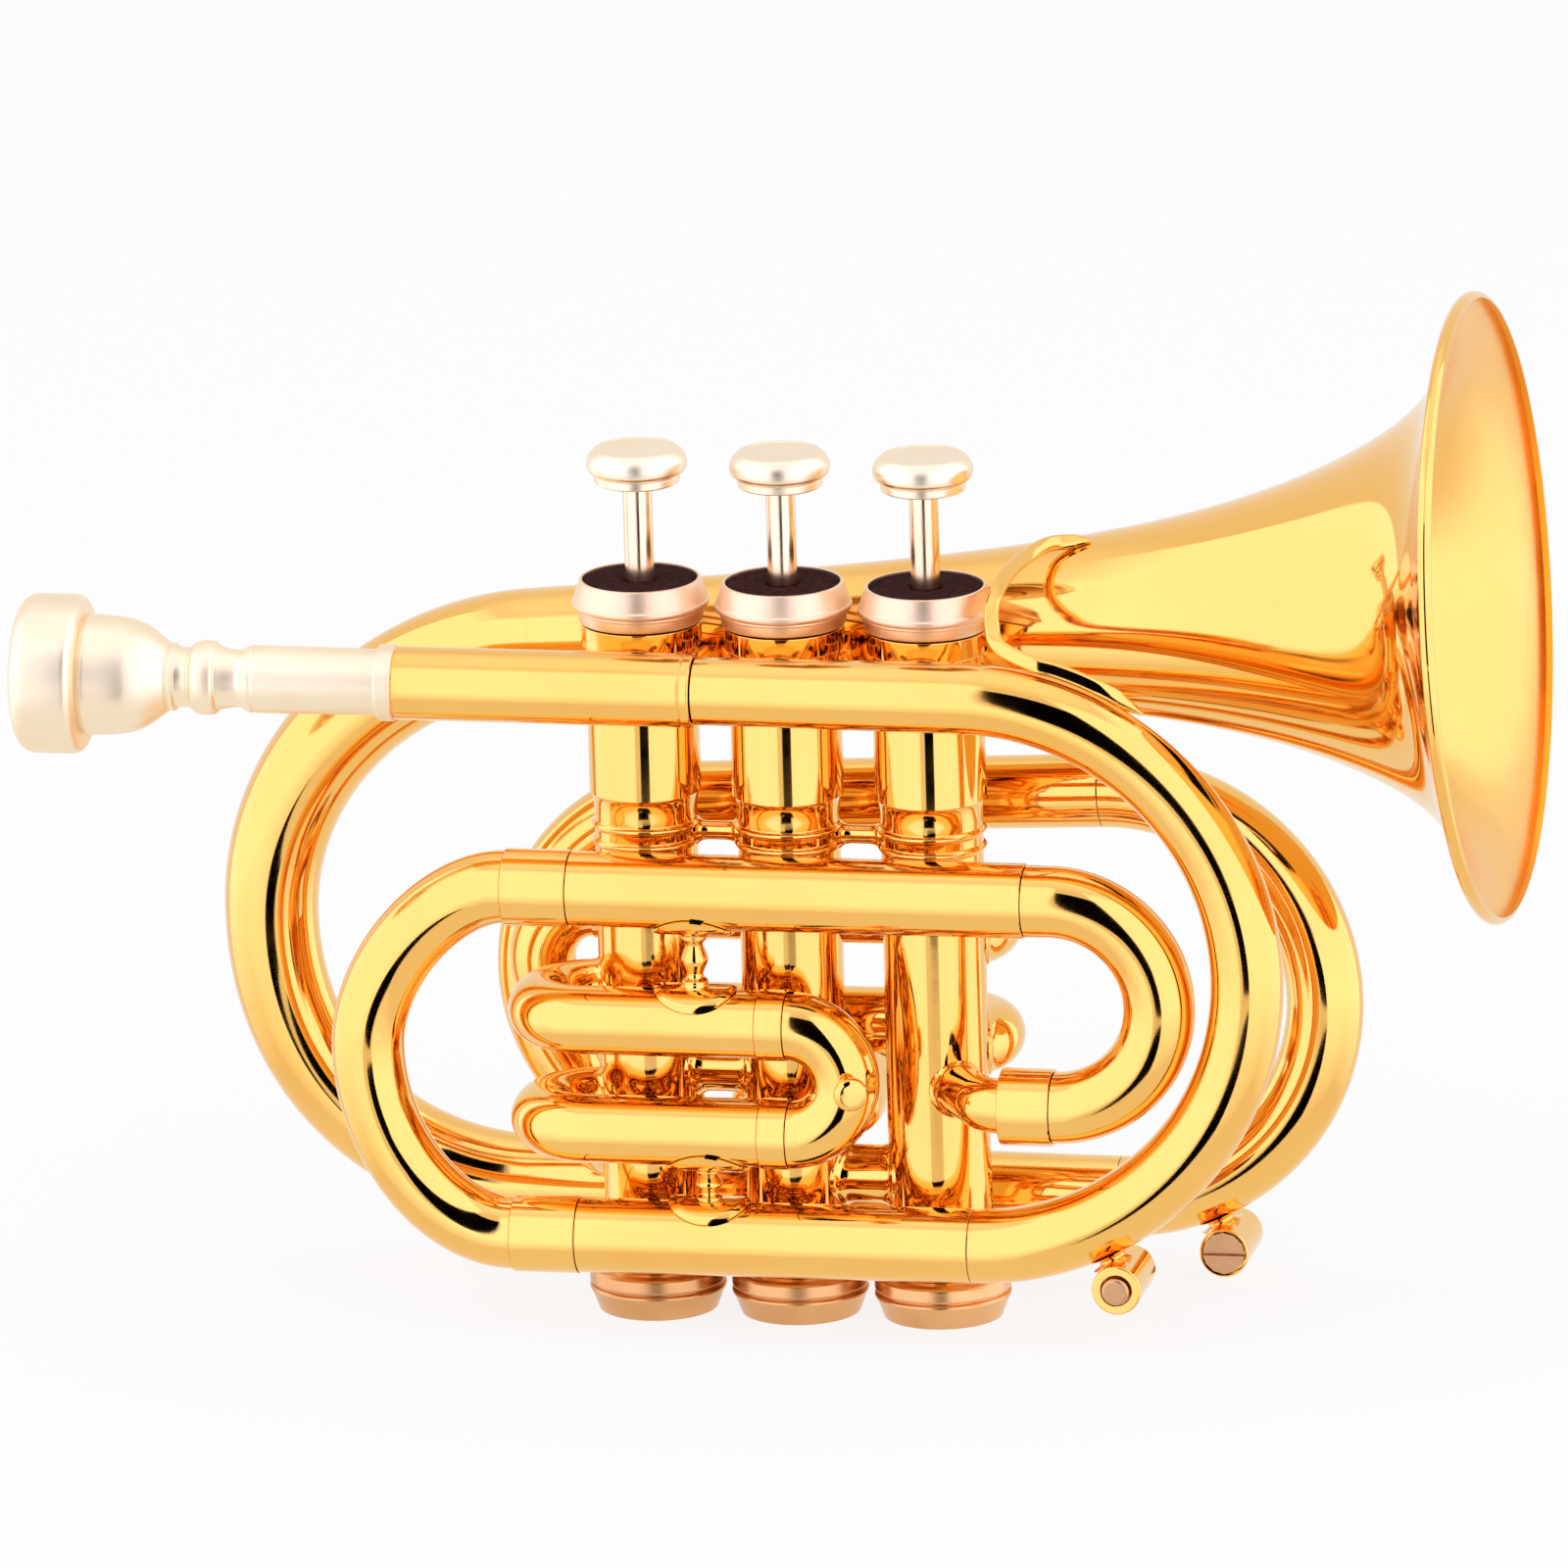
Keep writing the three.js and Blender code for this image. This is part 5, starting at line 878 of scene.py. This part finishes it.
# Bell: one tapered branch, bent round the left side in an egg shape, and a flare spun thin over a former.
# Its edge is rolled round a wire, and its inside is buffed less than its outside.
bell_plane, bell_start_x, bell_level, bell_pitch = 24.6, -50.5, 120.15, radians(3.67)
stem_end_x, stem_far_x, stem_far_height = -55.3, -101.7, 63.8
stem_foot = (stem_end_x, tail_plane, tail_height - tail_bend)
stem_far = (stem_far_x, (bell_plane + tail_plane) / 2, stem_far_height)
bell_start = Vector((bell_start_x, bell_plane, bell_level + bell_start_x * tan(bell_pitch)))
bell_axes = (
    Vector((0, 1, 0)), Vector((-sin(bell_pitch), 0, cos(bell_pitch))), Vector((cos(bell_pitch), 0, sin(bell_pitch))),
)
bell_reach, bell_rim, throat, bow_end_radius = 174, 57.1, 13.7, 9.6
flare_rise, flare_length, steep_length, bell_wall, rim_wire = 30, 35.3, 3.65, 0.6, 1.3
stem_bow_radii = (8.2, 8.5)


def bell_radius(distance):
    """Outer radius of the bell along its axis: a slow cone, a flare on top of it and a short steep lip."""
    cone = bow_end_radius + (throat - bow_end_radius) * distance / bell_reach
    back = distance - bell_reach
    lip_rise = bell_rim - throat - flare_rise
    return cone + flare_rise * exp(back / flare_length) + lip_rise * exp(back / steep_length)


stem_line = straight((tail_x - seat, *stem_foot[1:]), stem_foot, 16)[:-1]
lower_bow = quarter_bow(stem_foot, stem_far, (0.49, 0.66), 50)
upper_bow = turned_back(quarter_bow(bell_start, stem_far, (0.52, 0.54), 50, bell_axes[2]))
radii = tapered(stem_line, stem_start_radius, stem_bow_radii[0])
radii += tapered(lower_bow[:-1], *stem_bow_radii) + tapered(upper_bow, stem_bow_radii[1], bell_radius(0))
route = stem_line + lower_bow[:-1] + upper_bow
smooth_piece("bell_branch", swept(route, radii, [radius - wall for radius in radii], 56), lacquer, "bell_stem")
bell_sides, bell_steps, bell_spacing, first_gap, slope_step = 192, 72, 1.9, 0.03, 0.1
stations = [bell_reach * (1 - (1 - i / bell_steps) ** bell_spacing) for i in range(bell_steps + 1)]
stations[0] = first_gap
outer = [(bell_radius(d), d) for d in stations]
inner = []
for d in stations:
    slope = (bell_radius(d + slope_step) - bell_radius(d - slope_step)) / (2 * slope_step)
    inner.append((bell_radius(d) - bell_wall / hypot(1, slope), d + bell_wall * slope / hypot(1, slope)))
rolled = [
    (bell_rim - rim_wire + rim_wire * cos(radians(turn)), bell_reach + rim_wire / 2 + rim_wire * sin(radians(turn)))
    for turn in range(-60, 91, 15)
]
flare_shape = lathe(outer[:-1] + rolled + inner[:-1][::-1], bell_start, bell_axes, bell_sides)
flare = smooth_piece("bell_flare", flare_shape, lacquer, "bell")
flare.data.materials.append(
    metal("gold_satin", (0.97, 0.56, 0.15), (0.95, 0.53, 0.13), (0.26, 0.32), [spun_waves, (1.1, 2, 0.001)]),
)
inside = (len(outer) - 1 + len(rolled)) * bell_sides
for face in flare.data.polygons:
    face.material_index = 1 if face.vertices[0] >= inside else 0

# Brace: an S-shaped strap of brass, flat with rounded edges and tapered at both ends. It is soldered to the top of
# the bell and to the top of the leadpipe's bow.
bell_feet = ((0.598, 103, 0.5), (0.578, 105, 1.1))
strap_bends = (
    (0.191, 0.83, 1.378), (0.14, 0.66, 1.37), (0.105, 0.42, 1.353), (0.09, 0.228, 1.306), (0.098, 0.132, 1.238),
    (0.136, 0.048, 1.18),
)
pipe_feet, pipe_lift = (77, 73, 68, 62, 56), 1.42
knots = []
for share, turn, lift in bell_feet:
    distance, up = share * bell_reach, radians(turn)
    reach, foot = bell_radius(distance) + lift, bell_start + bell_axes[2] * distance
    knots.append(foot + bell_axes[0] * reach * cos(up) + bell_axes[1] * reach * sin(up))
for x, y, z in strap_bends:
    bend_y = near_plane + (bell_plane - near_plane) * y
    knots.append(Vector((bow_centre[0] + x * lead_bend, bend_y, bow_centre[2] + z * lead_bend)))
reach = lead_bend + slide_tube_radius + pipe_lift
for turn in pipe_feet:
    up = radians(turn)
    knots.append(Vector((bow_centre[0] + reach * cos(up), near_plane, bow_centre[2] + reach * sin(up))))
strap_thick, strap_wide, strap_sides, flatness = 0.9, 1.4, 24, 0.62
bell_twist, pipe_twist, end_steps, end_share = 22, 12, 7, 0.12
bell_up, pipe_up = radians(bell_feet[0][1]), radians(pipe_feet[-1])
off_bell = bell_axes[0] * cos(bell_up) + bell_axes[1] * sin(bell_up)
off_pipe = Vector((cos(pipe_up), 0, sin(pipe_up)))
front = Vector((0.19, -0.94, 0.27))
line = spline(knots, 8)
rings = []
for i, point in enumerate(line):
    left = len(line) - 1 - i
    heading = (line[min(i + 1, len(line) - 1)] - line[max(i - 1, 0)]).normalized()
    from_bell, from_pipe = min(1, i / bell_twist), min(1, left / pipe_twist)
    thick = off_bell.lerp(front, from_bell) if from_bell < 1 else off_pipe.lerp(front, from_pipe)
    thick = (thick - heading * thick.dot(heading)).normalized()
    wide = heading.cross(thick)
    taper = sqrt(min(1, end_share + (1 - end_share) * min(i, left) / end_steps))
    ring = []
    for k in range(strap_sides):
        angle = 2 * pi * k / strap_sides
        rise, spread = (copysign(abs(wave) ** flatness, wave) for wave in (cos(angle), sin(angle)))
        ring.append(point + (thick * rise * strap_thick + wide * spread * strap_wide) * taper)
    rings.append(ring)
smooth_piece("bell_strap", skin(rings, closed=False), lacquer, "bell_brace")


# Brace posts: turned brass pillars between the near tubes, above and below the first valve slide.
# Each has a thin oval saddle at either end, bent to the tube and soldered to it.
def saddle(x, height, radius, way):
    """A thin oval flange that wraps the near half of a tube, above or below it."""
    half_length, half_width, gap, thickness, edge_share, steps, sides = 7.5, 6.6, 0.1, 0.9, 0.6, 8, 48
    corners, faces = [], []
    for lift in (gap, thickness):
        for step in range(steps + 1):
            share = step / steps
            reach = radius + (lift if step < steps else lift * edge_share)
            for i in range(sides):
                angle = 2 * pi * i / sides
                along, bend = half_length * share * cos(angle), half_width * share * sin(angle) / radius
                corners.append(Vector((x + along, near_plane + reach * sin(bend), height + way * reach * cos(bend))))
    layer = (steps + 1) * sides
    strips = [(start + k * sides, start + (k + 1) * sides, start > 0) for start in (0, layer) for k in range(steps)]
    for a, b, outer in [*strips, (steps * sides, layer + steps * sides, False)]:
        for i in range(sides):
            j = (i + 1) % sides
            faces.append((a + i, b + i, b + j, a + j) if outer else (a + i, a + j, b + j, b + i))
    return corners, faces


post_clearance, saddle_clearance = 0.3, 0.1
for name, x, low, low_radius, high, high_radius in (
    ("upper", -14.4, first_heights["upper"], first_radius, upper_height, slide_tube_radius),
    ("lower", -12.8, lower_height, slide_tube_radius, first_heights["lower"], first_radius),
):
    foot, head = low + low_radius + post_clearance, high - high_radius - post_clearance
    tall = head - foot
    outline = [(0, foot - 0.5), (2.9, foot + 0.2)]
    outline += [(radius, foot + share * tall) for radius, share in ((2.4, 0.07), (2.4, 0.14), (1.6, 0.2))]
    bowl = ((1.5, 0.27), (1.9, 0.36), (2.45, 0.5), (1.9, 0.66), (1.5, 0.75))
    outline += curved([(radius, foot + share * tall) for radius, share in bowl], 5)
    outline += [(radius, foot + share * tall) for radius, share in ((1.7, 0.8), (2.4, 0.86), (2.4, 0.93))]
    outline += [(2.9, head - 0.2), (0, head + 0.5)]
    post = joined(
        turned(outline, 0.25, 3, (x, near_plane, 0), sides=48), saddle(x, low, low_radius + saddle_clearance, 1),
        saddle(x, high, high_radius + saddle_clearance, -1),
    )
    smooth_piece(f"post_{name}", post, lacquer, f"brace_post_{name}")

# Water keys: small cross-bored cylinders of brass on a short stalk, with a push plunger in one end and a slotted
# plug in the other. Pressing the plunger lets the water out.
deep_copper = metal("deep_copper", (0.68, 0.38, 0.18), (0.58, 0.3, 0.14), (0.2, 0.3), [(0.8, 3, 0.006)])
key_radius, key_half, stand_off = 4.5, 7.5, 0.35
mouth_radius, seat_depth, bore_radius, plug_radius, plug_depth = 2.85, 1.8, 3.5, 4.15, 1.9
key_outline = [
    (mouth_radius, -key_half), (4.3, -key_half), (key_radius, 0.25 - key_half), (key_radius, key_half - 0.2),
    (4.35, key_half), (plug_radius, key_half), (plug_radius, key_half - plug_depth),
    (bore_radius, key_half - plug_depth), (bore_radius, seat_depth - key_half), (mouth_radius, seat_depth - key_half),
]
plunger_outline = [
    (0, -key_half - 1.2), (2.15, -key_half - 1.2), (2.5, -key_half - 0.85), (2.5, 2.1 - key_half),
    (3.2, 2.1 - key_half), (3.2, 5.7 - key_half), (0, 5.7 - key_half),
]
stalk_steps, stalk_waist, stalk_foot, stalk_bore, stalk_starts, stalk_sinks = 10, 2.5, 1.6, 1.2, 0.8, 0.6
for name, centre, bend, radius, x, facing in (
    ("near", bow_centre, lead_bend, slide_tube_radius, 62.8, -1),
    ("far", (tail_x, tail_plane, tail_height), tail_bend, stem_start_radius, 73.2, 1),
):
    reach = bend + radius + stand_off + key_radius
    place = Vector((x, centre[1], centre[2] - sqrt(reach * reach - (x - centre[0]) ** 2)))
    axes = (Vector((1, 0, 0)), Vector((0, 0, -facing)), Vector((0, -facing, 0)))
    to_tube = (Vector(centre) - place).normalized()
    stalk = straight(
        place + to_tube * (key_radius - stalk_starts), place + to_tube * (reach - bend - radius + stalk_sinks),
        stalk_steps,
    )
    spread = [stalk_waist + stalk_foot * abs(2 * i / stalk_steps - 1) ** 3 for i in range(stalk_steps + 1)]
    body = joined(turned(key_outline, 0.12, 2, place, axes, 64), swept(stalk, spread, [stalk_bore] * len(stalk), 40))
    smooth_piece(f"{name}_key_body", body, lacquer, f"{name}_water_key_body")
    plunger = turned(plunger_outline, 0.15, 2, place, axes, 48)
    smooth_piece(
        f"{name}_key_plunger", plunger, deep_copper, f"{name}_water_key_plunger", f"{name}_water_key",
    )
    refinish(f"{name}_water_key_plug", deep_copper)
